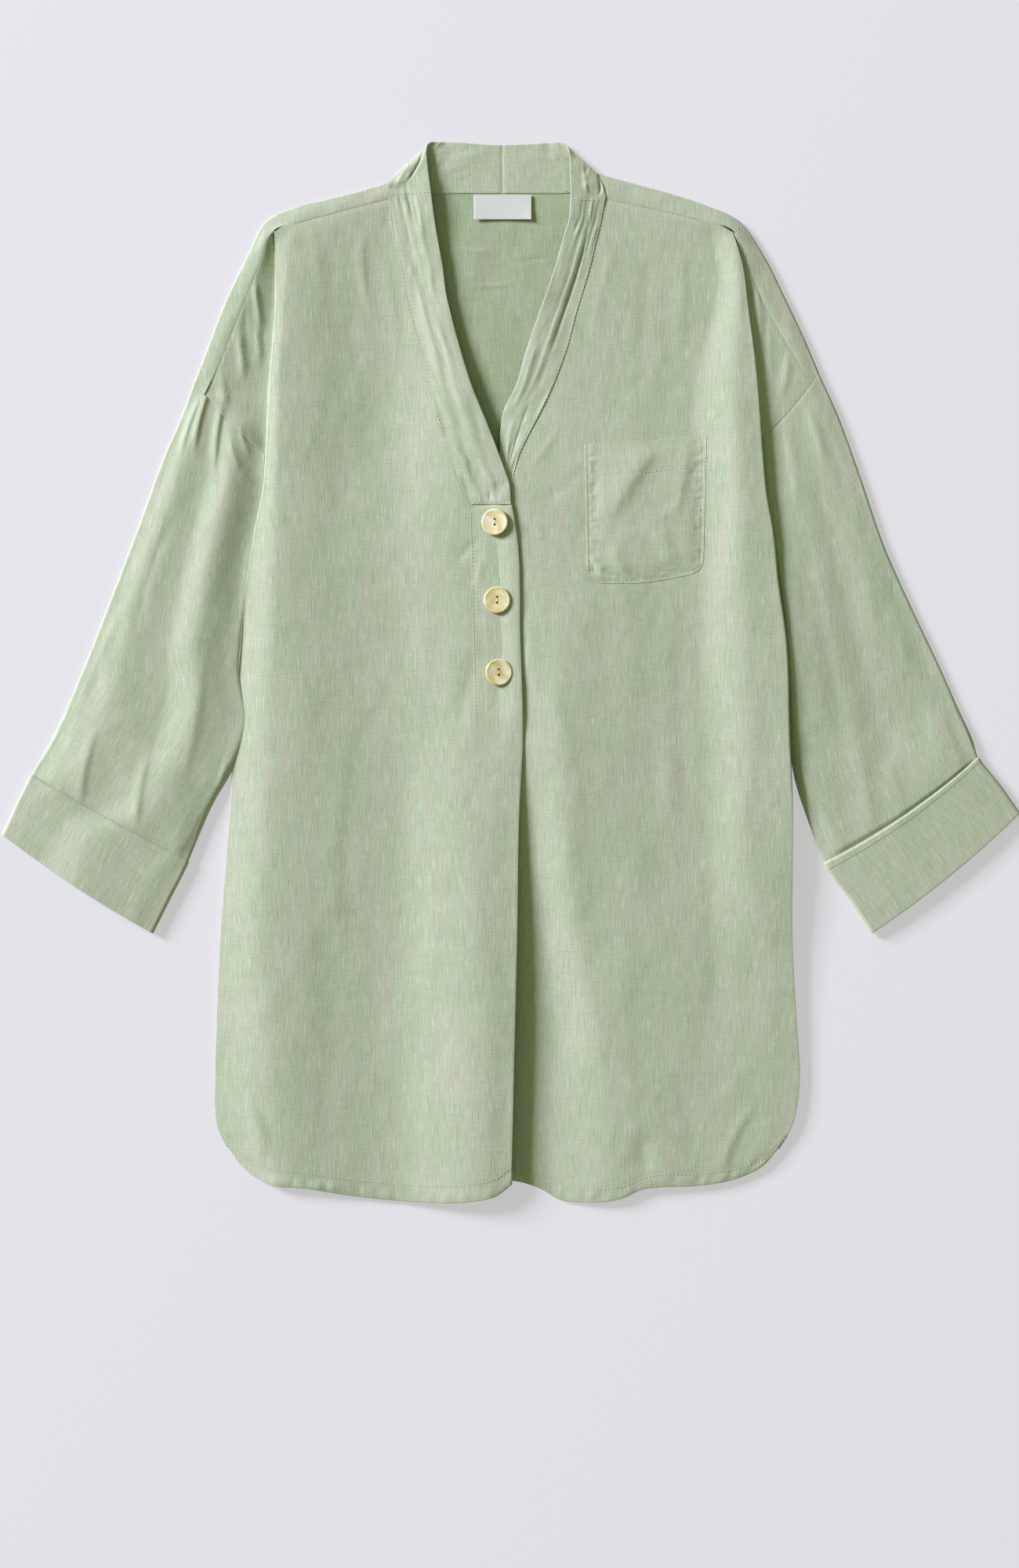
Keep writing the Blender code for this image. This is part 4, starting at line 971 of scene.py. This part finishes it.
def quad_corners(grid):
    """The grid's values at the four corners of each of its quads, row by row."""
    corners = [grid[:-1, :-1], grid[:-1, 1:], grid[1:, 1:], grid[1:, :-1]]
    return np.stack([c.reshape(-1, *grid.shape[2:]) for c in corners], axis=1)


def grid_corners(rows, columns, ring=False):
    """Vertex numbers of each quad's corners, closed across the columns if ring."""
    index = np.arange(rows * columns).reshape(rows, columns)
    if ring:
        index = np.concatenate([index, index[:, :1]], axis=1)
    return quad_corners(index)


def made_mesh(name, points, quads, finish, grain=None):
    """A mesh from arrays: points in millimetres, four-cornered faces, grain per corner."""
    mesh = bpy.data.meshes.new(name)
    quads = np.asarray(quads, np.int32)
    points = np.asarray(points).reshape(-1, 3)
    mesh.vertices.add(len(points))
    mesh.vertices.foreach_set("co", (points * MM).astype(np.float32).ravel())
    mesh.loops.add(quads.size)
    mesh.loops.foreach_set("vertex_index", quads.ravel())
    mesh.polygons.add(len(quads))
    mesh.polygons.foreach_set("loop_start", np.arange(0, quads.size, 4, dtype=np.int32))
    mesh.update(calc_edges=True)
    if grain is not None:
        layer = mesh.uv_layers.new(name="grain")
        layer.data.foreach_set("uv", (grain * MM).astype(np.float32).ravel())
    mesh.shade_smooth()
    mesh.materials.append(finish)
    piece = bpy.data.objects.new(name, mesh)
    bpy.context.scene.collection.objects.link(piece)
    return piece


def edged(grid, axis):
    """The grid with a very narrow strip at both its ends, beside the wall's rim."""
    grid = grid.swapaxes(0, axis)
    first = grid[:1] + RIM_SHARE * (grid[1:2] - grid[:1])
    last = grid[-1:] + RIM_SHARE * (grid[-2:-1] - grid[-1:])
    return np.concatenate([grid[:1], first, grid[1:-1], last, grid[-1:]]).swapaxes(0, axis)


def cloth(name, points, finish, node, grain=None, ring=False, flip=False, wall=LAYER):
    """One piece of cloth: its outer face as a grid, thickened inwards by Solidify."""
    if grain is None:
        grain = points[..., :2]
    for axis in range(1 if ring else 2):
        points, grain = edged(points, axis), edged(grain, axis)
    corners, grain = grid_corners(*points.shape[:2], ring), quad_corners(grain)
    if flip:
        corners, grain = corners[:, ::-1], grain[:, ::-1]
    piece = made_mesh(name, points, corners, finish, grain)
    return thickened(piece, node, wall)


def thickened(piece, node, wall):
    """Gives a face its wall, inwards and closed at the rim, and its place in the part."""
    thick = piece.modifiers.new("wall", "SOLIDIFY")
    thick.thickness = wall * MM
    thick.offset = -1
    thick.use_rim = True
    return dress(piece, node)


def dress(piece, node=None):
    """Fixes a piece to the part and, if a node is given, hides that node, which the piece stands for."""
    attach(piece, "root")
    if node:
        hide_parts(node)
    return piece


# Materials


def linear(code):
    """An sRGB hex colour as linear red, green, blue and alpha."""
    channels = np.array([int(code[i : i + 2], 16) for i in (1, 3, 5)]) / 255
    low, high = channels / 12.92, ((channels + 0.055) / 1.055) ** 2.4
    return (*np.where(channels <= 0.04045, low, high).tolist(), 1.0)


def add(tree, kind, settings=(), inputs=()):
    """Adds a node, with its settings by name and its inputs by name or number: an input that
    is given a socket is linked to it."""
    node = tree.nodes.new(kind)
    for name, value in dict(settings).items():
        setattr(node, name, value)
    for name, value in dict(inputs).items():
        if isinstance(value, bpy.types.NodeSocket):
            tree.links.new(value, node.inputs[name])
        else:
            node.inputs[name].default_value = value
    return node


def finish_named(name, roughness, **sockets):
    """A new material, its node tree and its shader, with the given sockets set."""
    made = bpy.data.materials.new(name)
    made.use_nodes = True
    shader = made.node_tree.nodes["Principled BSDF"]
    shader.inputs["Roughness"].default_value = roughness
    for socket, value in sockets.items():
        shader.inputs[socket.replace("_", " ")].default_value = value
    return made, made.node_tree, shader


def clouds(tree, place, scale, detail, settings=(), **more):
    inputs = {"Vector": place, "Scale": scale, "Detail": detail, **more}
    return add(tree, "ShaderNodeTexNoise", settings, inputs).outputs["Fac"]


def bands(tree, place, way, scale, distortion, detail, finer=1.0):
    inputs = {"Vector": place, "Scale": scale, "Distortion": distortion, "Detail": detail}
    inputs["Detail Scale"] = finer
    return add(tree, "ShaderNodeTexWave", {"bands_direction": way}, inputs).outputs["Fac"]


def yarns(tree, grain, across, along, place, detail=2.0):
    """Noise drawn out along the thread: a patch is about across by along millimetres."""
    scale = (1000 / across, 1000 / along, 1)
    inputs = {"Vector": grain, "Location": (place, 1.7 * place, 0), "Scale": scale}
    stretched = add(tree, "ShaderNodeMapping", {"vector_type": "POINT"}, inputs).outputs["Vector"]
    return clouds(tree, stretched, 1.0, detail, {"noise_dimensions": "2D"}, Roughness=0.55)


def between(tree, value, low, high, top=1.0):
    """Value eased from 0 at low to top at high."""
    inputs = {"Value": value, "From Min": low, "From Max": high, "To Min": 0.0, "To Max": top}
    return add(tree, "ShaderNodeMapRange", {"interpolation_type": "SMOOTHSTEP"}, inputs).outputs["Result"]


def mixed(tree, factor, first, second):
    """The first colour at a factor of 0, the second at 1."""
    inputs = {"Factor": factor, "A": first, "B": second}
    return add(tree, "ShaderNodeMix", {"data_type": "RGBA"}, inputs).outputs["Result"]


def maths(tree, operation, first, second):
    return add(tree, "ShaderNodeMath", {"operation": operation}, {0: first, 1: second}).outputs[0]


def roughen(tree, shader, relief, strength, depth):
    bump = add(tree, "ShaderNodeBump", (), {"Height": relief, "Strength": strength, "Distance": depth})
    tree.links.new(bump.outputs["Normal"], shader.inputs["Normal"])


def washed_linen(name, sage, beige, cool, pale, dark):
    """Yarn-dyed plain-weave linen, washed soft: flax yarns of uneven thickness and shade, so the
    eye sees short streaks of beige, cool green and pale slub along the warp, fainter ones across
    it, and no gloss but a faint nap. Threads are 0.5 mm apart; the streaks are drawn 1 mm wide
    or more, because a single thread is too fine to show."""
    made, tree, shader = finish_named(
        name, 0.88, Sheen_Weight=0.12, Sheen_Roughness=0.5, Specular_IOR_Level=0.25
    )
    uv = add(tree, "ShaderNodeUVMap", {"uv_map": "grain"}).outputs["UV"]
    patch = maths(tree, "MULTIPLY", maths(tree, "SUBTRACT", yarns(tree, uv, 30, 90, 3.1, 1.0), 0.5), 0.9)
    warp = maths(tree, "ADD", yarns(tree, uv, 1.2, 34, 11.0, 3.0), patch)
    colour = mixed(tree, between(tree, warp, 0.40, 0.64, 0.80), linear(sage), linear(beige))
    # each kind of streak: its shade, size across and along, place and detail, and how much
    for shade, across, along, place, detail, low, high, most in (
        (cool, 2.0, 46, 23.0, 3.0, 0.46, 0.68, 0.60),
        (dark, 1.1, 22, 53.0, 1.0, 0.54, 0.76, 0.42),
        (dark, 18, 1.1, 71.0, 2.0, 0.52, 0.74, 0.24),
        (pale, 1.1, 16, 37.0, 1.0, 0.56, 0.76, 0.38),
        (pale, 12, 1.1, 83.0, 2.0, 0.56, 0.76, 0.18),
    ):
        share = between(tree, yarns(tree, uv, across, along, place, detail), low, high, most)
        colour = mixed(tree, share, colour, linear(shade))
    tree.links.new(colour, shader.inputs["Base Color"])
    relief = maths(tree, "ADD", yarns(tree, uv, 0.9, 7, 101.0), yarns(tree, uv, 7, 0.9, 113.0))
    roughen(tree, shader, relief, 0.3, 0.0003)
    return made


def flax_thread(name, shade, dark):
    """Twisted sewing thread, dyed to the cloth: matt, with fine slanting plies."""
    made, tree, shader = finish_named(name, 0.7, Sheen_Weight=0.1, Specular_IOR_Level=0.3)
    place = add(tree, "ShaderNodeTexCoord").outputs["Object"]
    twist = bands(tree, place, "DIAGONAL", 900.0, 1.0, 0.0)
    colour = mixed(tree, twist, linear(shade), linear(dark))
    tree.links.new(colour, shader.inputs["Base Color"])
    return made


def polished_shell(name):
    """Buttons turned from yellowish sea shell and polished: cream and gold growth bands, wavy
    and a little pink, under a clear gloss."""
    made, tree, shader = finish_named(
        name, 0.28, Coat_Weight=0.5, Coat_Roughness=0.12, Specular_IOR_Level=0.5
    )
    place = add(tree, "ShaderNodeTexCoord").outputs["Object"]
    growth = bands(tree, place, "DIAGONAL", 38.0, 9.0, 2.0, 1.2)
    colour = mixed(tree, growth, linear("#D8C68F"), linear("#E8E0BE"))
    gold = between(tree, clouds(tree, place, 110.0, 2.0), 0.45, 0.70, 0.8)
    colour = mixed(tree, gold, colour, linear("#CDB46C"))
    blush = between(tree, clouds(tree, place, 60.0, 1.0), 0.55, 0.72, 0.5)
    colour = mixed(tree, blush, colour, linear("#E8D9C4"))
    tree.links.new(colour, shader.inputs["Base Color"])
    return made


def satin_tape(name):
    """Woven satin label tape: white, faintly ribbed across, with a soft shine."""
    made, tree, shader = finish_named(name, 0.5, Sheen_Weight=0.2, Specular_IOR_Level=0.4)
    place = add(tree, "ShaderNodeTexCoord").outputs["Object"]
    ribs = bands(tree, place, "Y", 260.0, 0.4, 1.0)
    colour = mixed(tree, ribs, linear("#CFCDC8"), linear("#D9D7D2"))
    tree.links.new(colour, shader.inputs["Base Color"])
    roughen(tree, shader, ribs, 0.2, 0.0002)
    return made


LINEN = washed_linen("sage_washed_linen", "#B1B99D", "#BDBAA6", "#ACBBA4", "#D3D6C5", "#969F83")
# The back's wrong side, which shows inside the neck: a little deeper and yellower than the linen, as
# painted shade for the neck opening.
NECK_SHADE_LINEN = washed_linen("sage_linen_painted_neck_shade", "#A2AE8C", "#ADB095", "#9EAE91", "#C4CAB1", "#899470")
THREAD = flax_thread("sage_thread", "#CFD6C2", "#B3BDA3")
CREAM_THREAD = flax_thread("cream_thread", "#EFE6C6", "#D6C79B")
# Dark green thread finish for the tube down each buttonhole: painted shadow for the slit's dark inside.
SLIT_SHADOW = flax_thread("painted_slit_shadow", "#7F8A66", "#6A7553")
SHELL = polished_shell("yellow_shell")
# The wall of each hole is matt and dark brown: painted shade for the dark inside of the hole.
HOLE_SHADE = finish_named("painted_hole_shade", 0.6, Base_Color=linear("#4A3322"))[0]
SATIN = satin_tape("white_satin_tape")


# Pieces


def make_fronts():
    for side in (RIGHT, LEFT):
        points = front_points(side)
        front = f"front_{side.name}"
        piece = cloth(f"{front}_cloth", points, LINEN, front, flip=side is RIGHT)
        lines = [hem_stitching(points)]
        if side is RIGHT:
            y = np.linspace(*PLACKET_LINE_ENDS, 120)
            x = np.interp(y, PLACKET_LINE["y"], PLACKET_LINE["x"])
            lines.append(np.column_stack([x, y, front_right_height(x, y)]))
        stitches(f"{front}_stitching", lines)


def hem_stitching(points):
    """The line on a front's upper face that runs at the hem's depth above its edge, from the
    front's inner edge to its side fold. The rows turned under the hem come first in points."""
    middle = points[:, 60, 2]
    upper = points[int(np.argmax(middle > middle[0] + EDGE_FOLD)) + 2 :]
    reach = run_along(upper[:12, :, :2])
    row = np.clip((reach < HEM).sum(axis=0), 1, 11)
    columns = np.arange(points.shape[1])
    before, after = reach[row - 1, columns], reach[row, columns]
    share = ((HEM - before) / (after - before))[:, None]
    line = upper[row - 1, columns] * (1 - share) + upper[row, columns] * share
    first = np.argmin(line[:40, 0]) if line[0, 0] < line[-1, 0] else np.argmax(line[:40, 0])
    return line[first + 2 : points.shape[1] - 24]


def make_back():
    """The back and its two shoulder strips as one mesh, and on its inner face, which shows inside the neck,
    the deeper linen of painted shade.
    """
    sheet, *strips = back_points()
    rows, columns = sheet.shape[:2]
    points = [sheet.reshape(-1, 3)]
    quads = [grid_corners(rows, columns)]
    total = rows * columns
    for strip, first in zip(strips, (0, columns - strips[0].shape[1])):
        width = strip.shape[1]
        edge = (rows - 1) * columns + first + np.arange(width)
        quads.append(quad_corners(np.vstack([edge, total + np.arange(strip.size // 3).reshape(-1, width)])))
        points.append(strip.reshape(-1, 3))
        total += strip.size // 3
    points, quads = np.concatenate(points), np.concatenate(quads)[:, ::-1]
    grain = points[quads][..., :2] + [1500, 700]
    piece = made_mesh("back_cloth", points, quads, LINEN, grain)
    piece.data.materials.append(NECK_SHADE_LINEN)
    thickened(piece, "back_panel", LAYER)
    # the inner face, uppermost on the table, takes the second material: the linen with painted neck shade
    piece.modifiers["wall"].material_offset = 1


def make_sleeves():
    """Each sleeve is a tube that runs on a little below its cuff, which is a tube of its own."""
    above = [[0, 0.001, 0.0025], np.linspace(0.005, 0.8, 104), np.linspace(0.804, 0.841, 13)]
    sleeve_t = np.concatenate([*above, np.linspace(0.845, 0.965, 14)])
    cuff_t, cuff_grow = cuff_stations()
    # where along the cloth each piece was cut, so that no two show the same streaks
    for side, sleeve_start, cuff_start in ((RIGHT, 2300, 3100), (LEFT, 300, 1100)):
        sleeve, cuff = f"sleeve_{side.name}", f"cuff_{side.name}"
        arm = sleeve_points(side, sleeve_t, 0 * sleeve_t)
        grain = ring_grain(arm, sleeve_start)
        piece = cloth(f"{sleeve}_cloth", arm, LINEN, sleeve, grain, True, side is LEFT)
        turned_up = sleeve_points(side, cuff_t, cuff_grow)
        grain = ring_grain(turned_up, cuff_start)
        piece = cloth(f"{cuff}_cloth", turned_up, LINEN, cuff, grain, True, side is LEFT)


def cuff_stations():
    """The turned-up cuff along the sleeve: a narrow hem turned in at its top, down to the
    mouth, round the pressed fold there and a little way back inside the sleeve. Returns the
    stations and how far outwards the cuff lies at each."""
    grow = LAYER + 0.2
    hem = [CUFF_START + 0.012, CUFF_START + 0.004, CUFF_START, CUFF_START - 0.001]
    face = np.append([CUFF_START, CUFF_START + 0.0008], np.linspace(CUFF_START + 0.004, 1.0, 39))
    angles = np.radians(np.linspace(15, 165, 9))
    middle, radius = (grow - LAYER) / 2, (grow + LAYER) / 2
    t = [hem, face, 1 + radius * np.sin(angles) / MOUTH_LENGTH, np.linspace(1.0, 0.975, 6)]
    hem_grow = grow - np.array([0.4, 0.4, 0.38, 0.2])
    grows = [hem_grow, np.full(len(face), grow), middle + radius * np.cos(angles), np.full(6, -LAYER)]
    return np.concatenate(t), np.concatenate(grows)


def band_points(band, count, across):
    """Straight lines from the free edge to the seam edge, swept along the band, and the unit
    vectors square to that surface."""
    knots = np.linspace(0, 1, len(band["seam_x"]))
    at = np.linspace(0, 1, count)
    seam = spline(knots, stacked(band, "seam_x seam_y seam_z"), at)[:, None]
    free = spline(knots, stacked(band, "free_x free_y free_z"), at)[:, None]
    share = np.linspace(0, 1, across)[:, None]
    points = free * (1 - share) + seam * share
    normal = unit(np.cross(np.gradient(points, axis=0), np.gradient(points, axis=1)))
    return points, normal * np.sign(normal[count // 8, across // 2, 2])


def band_lie(rows, along, across, seed):
    """Folds of a band: listed ones in hundredths of its length and width, and waviness."""
    x, y = np.broadcast_arrays(across * 100.0, along * 100.0)
    bent = creases([(b, a, d, c, *rest) for a, b, c, d, *rest in rows], x, y)
    wave = ripple(x, y, 34, 9, 0.35, seed) + ripple(x, y, 13, 4, 0.16, seed + 1)
    return (bent + wave) * smoothstep((1 - across) / 0.1)


def make_collar():
    """Each half: a band from the placket over the front to the shoulder, and the stand from
    there to the centre-back seam. Both are double, folded at the free edge."""
    across = np.linspace(0, 1, BAND_COLUMNS)[None]
    for side in (RIGHT, LEFT):
        name = f"collar_front_{side.name}"
        points, normal = band_points(side.band, BAND_ROWS, BAND_COLUMNS)
        along = np.linspace(0, 1, BAND_ROWS)[:, None]
        points[..., 2] += side.height(points[..., 0], points[..., 1])
        points[..., 2] += band_lie(BAND_CREASES[side.name], along, across, 77) * smoothstep(along / 0.02)
        add_band(name, points, normal, 26, side is RIGHT)
        # along the seam, across the foot at the placket and across the shoulder
        stitches(f"{name}_stitching", [points[3:-2, -2], points[1, 1:-1], points[-4, 1:-1]])
        end = points[-1]

        name = f"collar_back_{side.name}"
        points, normal = band_points(side.stand, STAND_ROWS, BAND_COLUMNS)
        along = np.linspace(0, 1, STAND_ROWS)[:, None]
        points += (end - points[0]) * (1 - smoothstep(along / 0.12))[..., None]
        wave = band_lie(BAND_CREASES["back"], along, across, 83) * smoothstep(along / 0.1)
        points += (wave * smoothstep((1 - along) / 0.15))[..., None] * normal
        upper = smoothstep(normal[..., 2] / 0.5)
        points[..., 2] += creases(STAND_CREASES, points[..., 0], points[..., 1]) * upper
        points[..., 2] -= 0.35 * bell(CENTRE_BACK - points[..., 0], 1.1)
        add_band(name, points, normal, 35, side is RIGHT)
        stitches(f"{name}_stitching", [(points - 2 * LAYER * normal)[24:-1, -2]])


def add_band(name, points, normal, folded, flip):
    """Turns the band's free edge over and lays the given number of columns back below it."""
    out = unit(points[:, 0] - points[:, 1])
    edge = [
        points[:, 0] + LAYER * (math.sin(a) * out - (1 - math.cos(a)) * normal[:, 0])
        for a in np.radians(np.linspace(180, 0, 8)[:-1])
    ]
    inner = points[:, folded:0:-1] - 2 * LAYER * normal[:, folded:0:-1]
    whole = np.concatenate([inner, np.stack(edge, axis=1), points], axis=1)
    whole[..., 2] = np.maximum(whole[..., 2], 0)
    along = run_along(whole[:, folded + 20])
    grain = np.dstack([run_along(whole, 1), np.repeat(along[:, None], whole.shape[1], 1)]) + [4000, 500]
    if "back" in name:
        grain = whole[..., :2] + [2000, 100]
    piece = cloth(f"{name}_cloth", whole, LINEN, name, grain, flip=flip)


def pocket_outline(u, v):
    """Nearly upright sides, a top that climbs a little towards the sleeve, and a bottom that is
    drawn up on that side, with a circle's arc at each lower corner."""
    inner = POCKET_TOP_INNER + v * (POCKET_LOW_INNER - POCKET_TOP_INNER)
    outer = POCKET_TOP_OUTER + v * (POCKET_LOW_OUTER - POCKET_TOP_OUTER)
    x = inner + u * (outer - inner)
    top = POCKET_TOP - POCKET_SLANT * (1 - u) + 0.8 * smoothstep((u - 0.62) / 0.05) - 0.8
    return x, top + v * (pocket_bottom(u, x, inner, outer) - top)


def make_pocket():
    """The patch pocket lies on the front, its stitched edge pulled in and puckered, the middle a
    little full and slanted by soft folds."""
    share = np.linspace(0, 1, 90)
    u, v = np.meshgrid(share - 0.04 * np.sin(2 * math.pi * share), np.linspace(0, 1, 100))
    x, y = pocket_outline(u, v)
    down = v * POCKET_DEPTH
    edge = np.minimum(np.minimum(u, 1 - u) * POCKET_WIDTH, POCKET_DEPTH - down)
    full = 0.7 * smoothstep((edge - 2) / 14) * smoothstep((down + 4) / 20)
    sewn = 0.25 * bell(edge - 2.2, 0.8) + 0.12 * bell(down - 25, 1.0)
    pucker = ripple(x + 0.5 * y, y, 5, 2.6, 0.30, 97) * bell(edge - 5, 4)
    soft = creases(POCKET_CREASES, x, y) * smoothstep(edge / 8)
    height = front_left_height(x, y) + 0.24 + full - sewn + pucker + soft
    points = turned_under(np.dstack([x, y, height]), 0.3, 8.0)
    grain = points[..., :2] + [900, 333]
    piece = cloth("pocket_cloth", points, LINEN, "pocket", grain, flip=True, wall=0.3)
    around = np.concatenate([points[:-2, 2], points[-3, 3:-3], points[-2::-1, -3]])
    stitches("pocket_stitching", [around, points[22, 4:-4]])


def make_buttonholes():
    """Upright slits behind the buttons, each whipped along both sides and barred at its ends, with a dark
    tube down its middle as painted shadow for the slit's dark inside.
    """

    def on_front(x, y, lift):
        x, y = np.broadcast_arrays(x, y)
        return np.column_stack([x, y, front_right_height(x, y) + lift])

    whipping, slits, bars = [], [], []
    for x, y in zip(BUTTONS["x"], BUTTONS["y"]):
        along = np.arange(0, BUTTONHOLE, 0.25) + y + BUTTONHOLE_ABOVE - BUTTONHOLE / 2
        along = along[along < BAND_RIGHT["seam_y"][0] - 5]
        whipping += [on_front(x + way * 0.75, along, 0.1) for way in (-1, 1)]
        # a dark tube down the middle: painted shadow inside the slit
        slits.append(on_front(x, along, 0.05))
        bars += [on_front(x + np.linspace(-1.2, 1.2, 7), end, 0.3) for end in along[[0, -1]]]
    dress(tubes("buttonhole_whipping", whipping, 0.34, THREAD))
    dress(tubes("buttonhole_bars", bars, 0.3, THREAD))
    dress(tubes("buttonhole_slit_shadows", slits, 0.2, SLIT_SHADOW))


def make_label():
    """Bare tape, caught in the neck seam along its top, its lower corners a little raised."""
    u, v = np.meshgrid(np.linspace(0, 1, 40), np.linspace(0, 1, 20))
    x = LABEL_START + u * (LABEL_END - LABEL_START)
    y = LABEL_TOP + v * (LABEL_BOTTOM - LABEL_TOP)
    lift = 1.9 + 0.5 * v + 0.7 * v**2 * (2 * u - 1) ** 2
    points = turned_under(np.dstack([x, y, lift]), 0.3, 5.0)
    piece = cloth("neck_label", points, SATIN, "label", flip=True, wall=0.35)


def turned(profile, sides):
    """A profile of radius and height carried round the axis, ring by ring."""
    turn = np.linspace(0, 2 * math.pi, sides, endpoint=False)
    radius, height = np.array(profile).T[..., None]
    return np.dstack([radius * np.cos(turn), radius * np.sin(turn), height + 0 * turn])


def button_profile():
    """From the middle of the back round the rim to the middle of the shallow dish."""
    radius = BUTTON_DIAMETER / 2
    angles = np.radians(np.linspace(-90, 100, 14))
    rim = [(radius - 1.0 + math.cos(a), 1.0 + math.sin(a)) for a in angles]
    dish = [(radius * f, 2.0 - 0.55 * (1 - f / 0.86) ** 0.5) for f in (0.84, 0.8, 0.7, 0.55, 0.3, 0.1)]
    return [(0.01, 0.0), (radius * 0.5, 0.0), *rim, *dish, (0.01, 1.45)]


def make_buttons():
    """Shell discs with a rounded rim and a shallow dish, two holes bored through each, and
    strands of thread from hole to hole and down under the disc."""
    rings = turned(button_profile(), 72)
    bore = turned([(0.01, -2), (HOLE_RADIUS, -2), (HOLE_RADIUS, 6), (0.01, 6)], 28)
    s = np.linspace(-1, 1, 17)
    reach = HOLE_SPREAD - HOLE_RADIUS + 0.15
    arch = np.column_stack([0 * s, s * reach, 1.45 + 0.14 * (1 - s**6)])
    strand = np.vstack([(0, -reach, 0), (0, -reach, 0.9), arch, (0, reach, 0.9), (0, reach, 0)])
    for number, (x, y, tip) in enumerate(zip(*BUTTONS.values()), start=1):
        cos, sin = math.cos(math.radians(tip)), math.sin(math.radians(tip))
        around = x + BUTTON_DIAMETER * np.linspace(-0.48, 0.2, 9)
        top = front_right_height(around, np.full(9, y)).max()
        place = np.array([x, y, top + 0.1 + 0.25 * BUTTON_DIAMETER * abs(sin)])
        tilt = np.array([[cos, 0, -sin], [0, 1, 0], [sin, 0, cos]])
        quads = grid_corners(*rings.shape[:2], ring=True)
        disc = made_mesh(f"button_{number}_shell", rings @ tilt + place, quads, SHELL)
        for way in (-1, 1):
            hole = (bore + [0, way * HOLE_SPREAD, 0]) @ tilt + place
            # the cutter's dark finish passes to the hole's wall: painted shade
            cutter = made_mesh("hole", hole, grid_corners(4, 28, ring=True), HOLE_SHADE)
            cut = disc.modifiers.new("hole", "BOOLEAN")
            cut.operation, cut.solver, cut.object = "DIFFERENCE", "EXACT", cutter
            cut.material_mode = "TRANSFER"
            apply_modifiers(disc)
            bpy.data.objects.remove(cutter)
        disc.data.shade_smooth()
        disc.data.set_sharp_from_angle(angle=math.radians(50))
        dress(disc, f"button_{number}")
        strands = [(strand + [offset, 0, 0]) @ tilt + place for offset in (-0.3, 0.0, 0.3)]
        dress(tubes(f"button_{number}_thread", strands, 0.16, CREAM_THREAD, sides=8))


def apply_modifiers(piece):
    graph = bpy.context.evaluated_depsgraph_get()
    mesh = bpy.data.meshes.new_from_object(piece.evaluated_get(graph))
    piece.modifiers.clear()
    piece.data = mesh


def tubes(name, lines, radius, finish, sides=6):
    """Round threads along the given lines: circles square to each line, closed at the ends."""
    points, quads, total = [], [], 0
    turn = np.linspace(0, 2 * math.pi, sides, endpoint=False)[None, :, None]
    for line in lines:
        run = unit(np.gradient(line, axis=0))
        side = unit(np.cross(run, [0.31, 0.17, 0.93]))  # square to the run, for any run near flat
        ring = np.cos(turn) * side[:, None] + np.sin(turn) * np.cross(side, run)[:, None]
        size = np.full((len(line), 1, 1), radius)
        size[[0, -1]] = 0.02
        points.append((line[:, None] + size * ring).reshape(-1, 3))
        quads.append(grid_corners(len(line), sides, ring=True) + total)
        total += len(line) * sides
    return made_mesh(name, np.concatenate(points), np.concatenate(quads)[:, ::-1], finish)


def stitches(name, lines):
    """Rows of lockstitch: each stitch a short thread that rises a little out of the cloth."""
    pitch = STITCH + STITCH_GAP
    s = np.linspace(0, 1, 5)[:, None]
    rise = 0.16 * np.sin(math.pi * s) * [0, 0, 1] - [0, 0, 0.02]
    threads = []
    for line in lines:
        lengths = run_along(line)
        at = np.linspace(0, lengths[-1], max(int(lengths[-1] / pitch), 2) + 1)
        knots = np.column_stack([np.interp(at, lengths, c) for c in line.T])
        for start, end in zip(knots, knots[1:]):
            threads.append(start + (end - start) * STITCH / pitch * s + rise)
    dress(tubes(name, threads, 0.16, THREAD))


def make_stage():
    """A pale light table, which softens every shadow that falls on it, and a low soft light from
    beyond the wearer's right shoulder."""
    made, _, shader = finish_named("pale_table", 0.9, Specular_IOR_Level=0.1, Emission_Strength=1.0)
    shader.inputs["Base Color"].default_value = (0.305, 0.301, 0.320, 1)
    shader.inputs["Emission Color"].default_value = (0.472, 0.457, 0.484, 1)
    half = 6000.0
    corners = [(-half, half), (half, half), (-half, -half), (half, -half)]
    floor = made_mesh("floor", [(x, y, -0.15) for x, y in corners], [[0, 2, 3, 1]], made)
    world = bpy.data.worlds.new("studio")
    world.use_nodes = True
    sky = world.node_tree.nodes["Background"]
    sky.inputs["Color"].default_value = (0.86, 1.0, 0.58, 1)
    sky.inputs["Strength"].default_value = 0.29
    bpy.context.scene.world = world
    light = bpy.data.lights.new("key", "AREA")
    light.shape = "SQUARE"
    light.size = 3.4
    light.color = (0.985, 1.0, 1.17)
    reach, rise = 12.0, math.radians(21)
    light.energy = KEY_SHARE * math.pi**2 * reach**2 / math.sin(rise)
    key = bpy.data.objects.new("key", light)
    bpy.context.scene.collection.objects.link(key)
    way_x, way_y = -0.87, 0.49
    flat_reach = reach * math.cos(rise)
    key.location = (way_x * flat_reach, way_y * flat_reach, reach * math.sin(rise))
    aim(key, (0.0, 0.0, 0.0))


def aim(thing, target):
    """Turns a light so that it shines at the target."""
    away = np.array(thing.location) - np.array(target)
    flat = math.hypot(away[0], away[1])
    thing.rotation_euler = (math.atan2(flat, away[2]), 0, math.atan2(away[0], -away[1]))


def make_camera():
    """Straight above the middle of the view, 1.24 m high."""
    middle_x, middle_y, view_height, lens, sensor = -0.0012, -0.0887, 1.24, 85.0, 36.0
    camera = bpy.data.cameras.new("camera")
    camera.lens = lens
    camera.sensor_width = sensor
    camera.clip_end = 20
    held = bpy.data.objects.new("camera", camera)
    held.location = (middle_x, middle_y, view_height * lens / sensor)
    bpy.context.scene.collection.objects.link(held)
    bpy.context.scene.camera = held
    bpy.context.scene.view_settings.view_transform = "Standard"


make_camera()
make_stage()
make_back()
make_sleeves()
make_fronts()
make_collar()
make_pocket()
make_label()
make_buttonholes()
make_buttons()
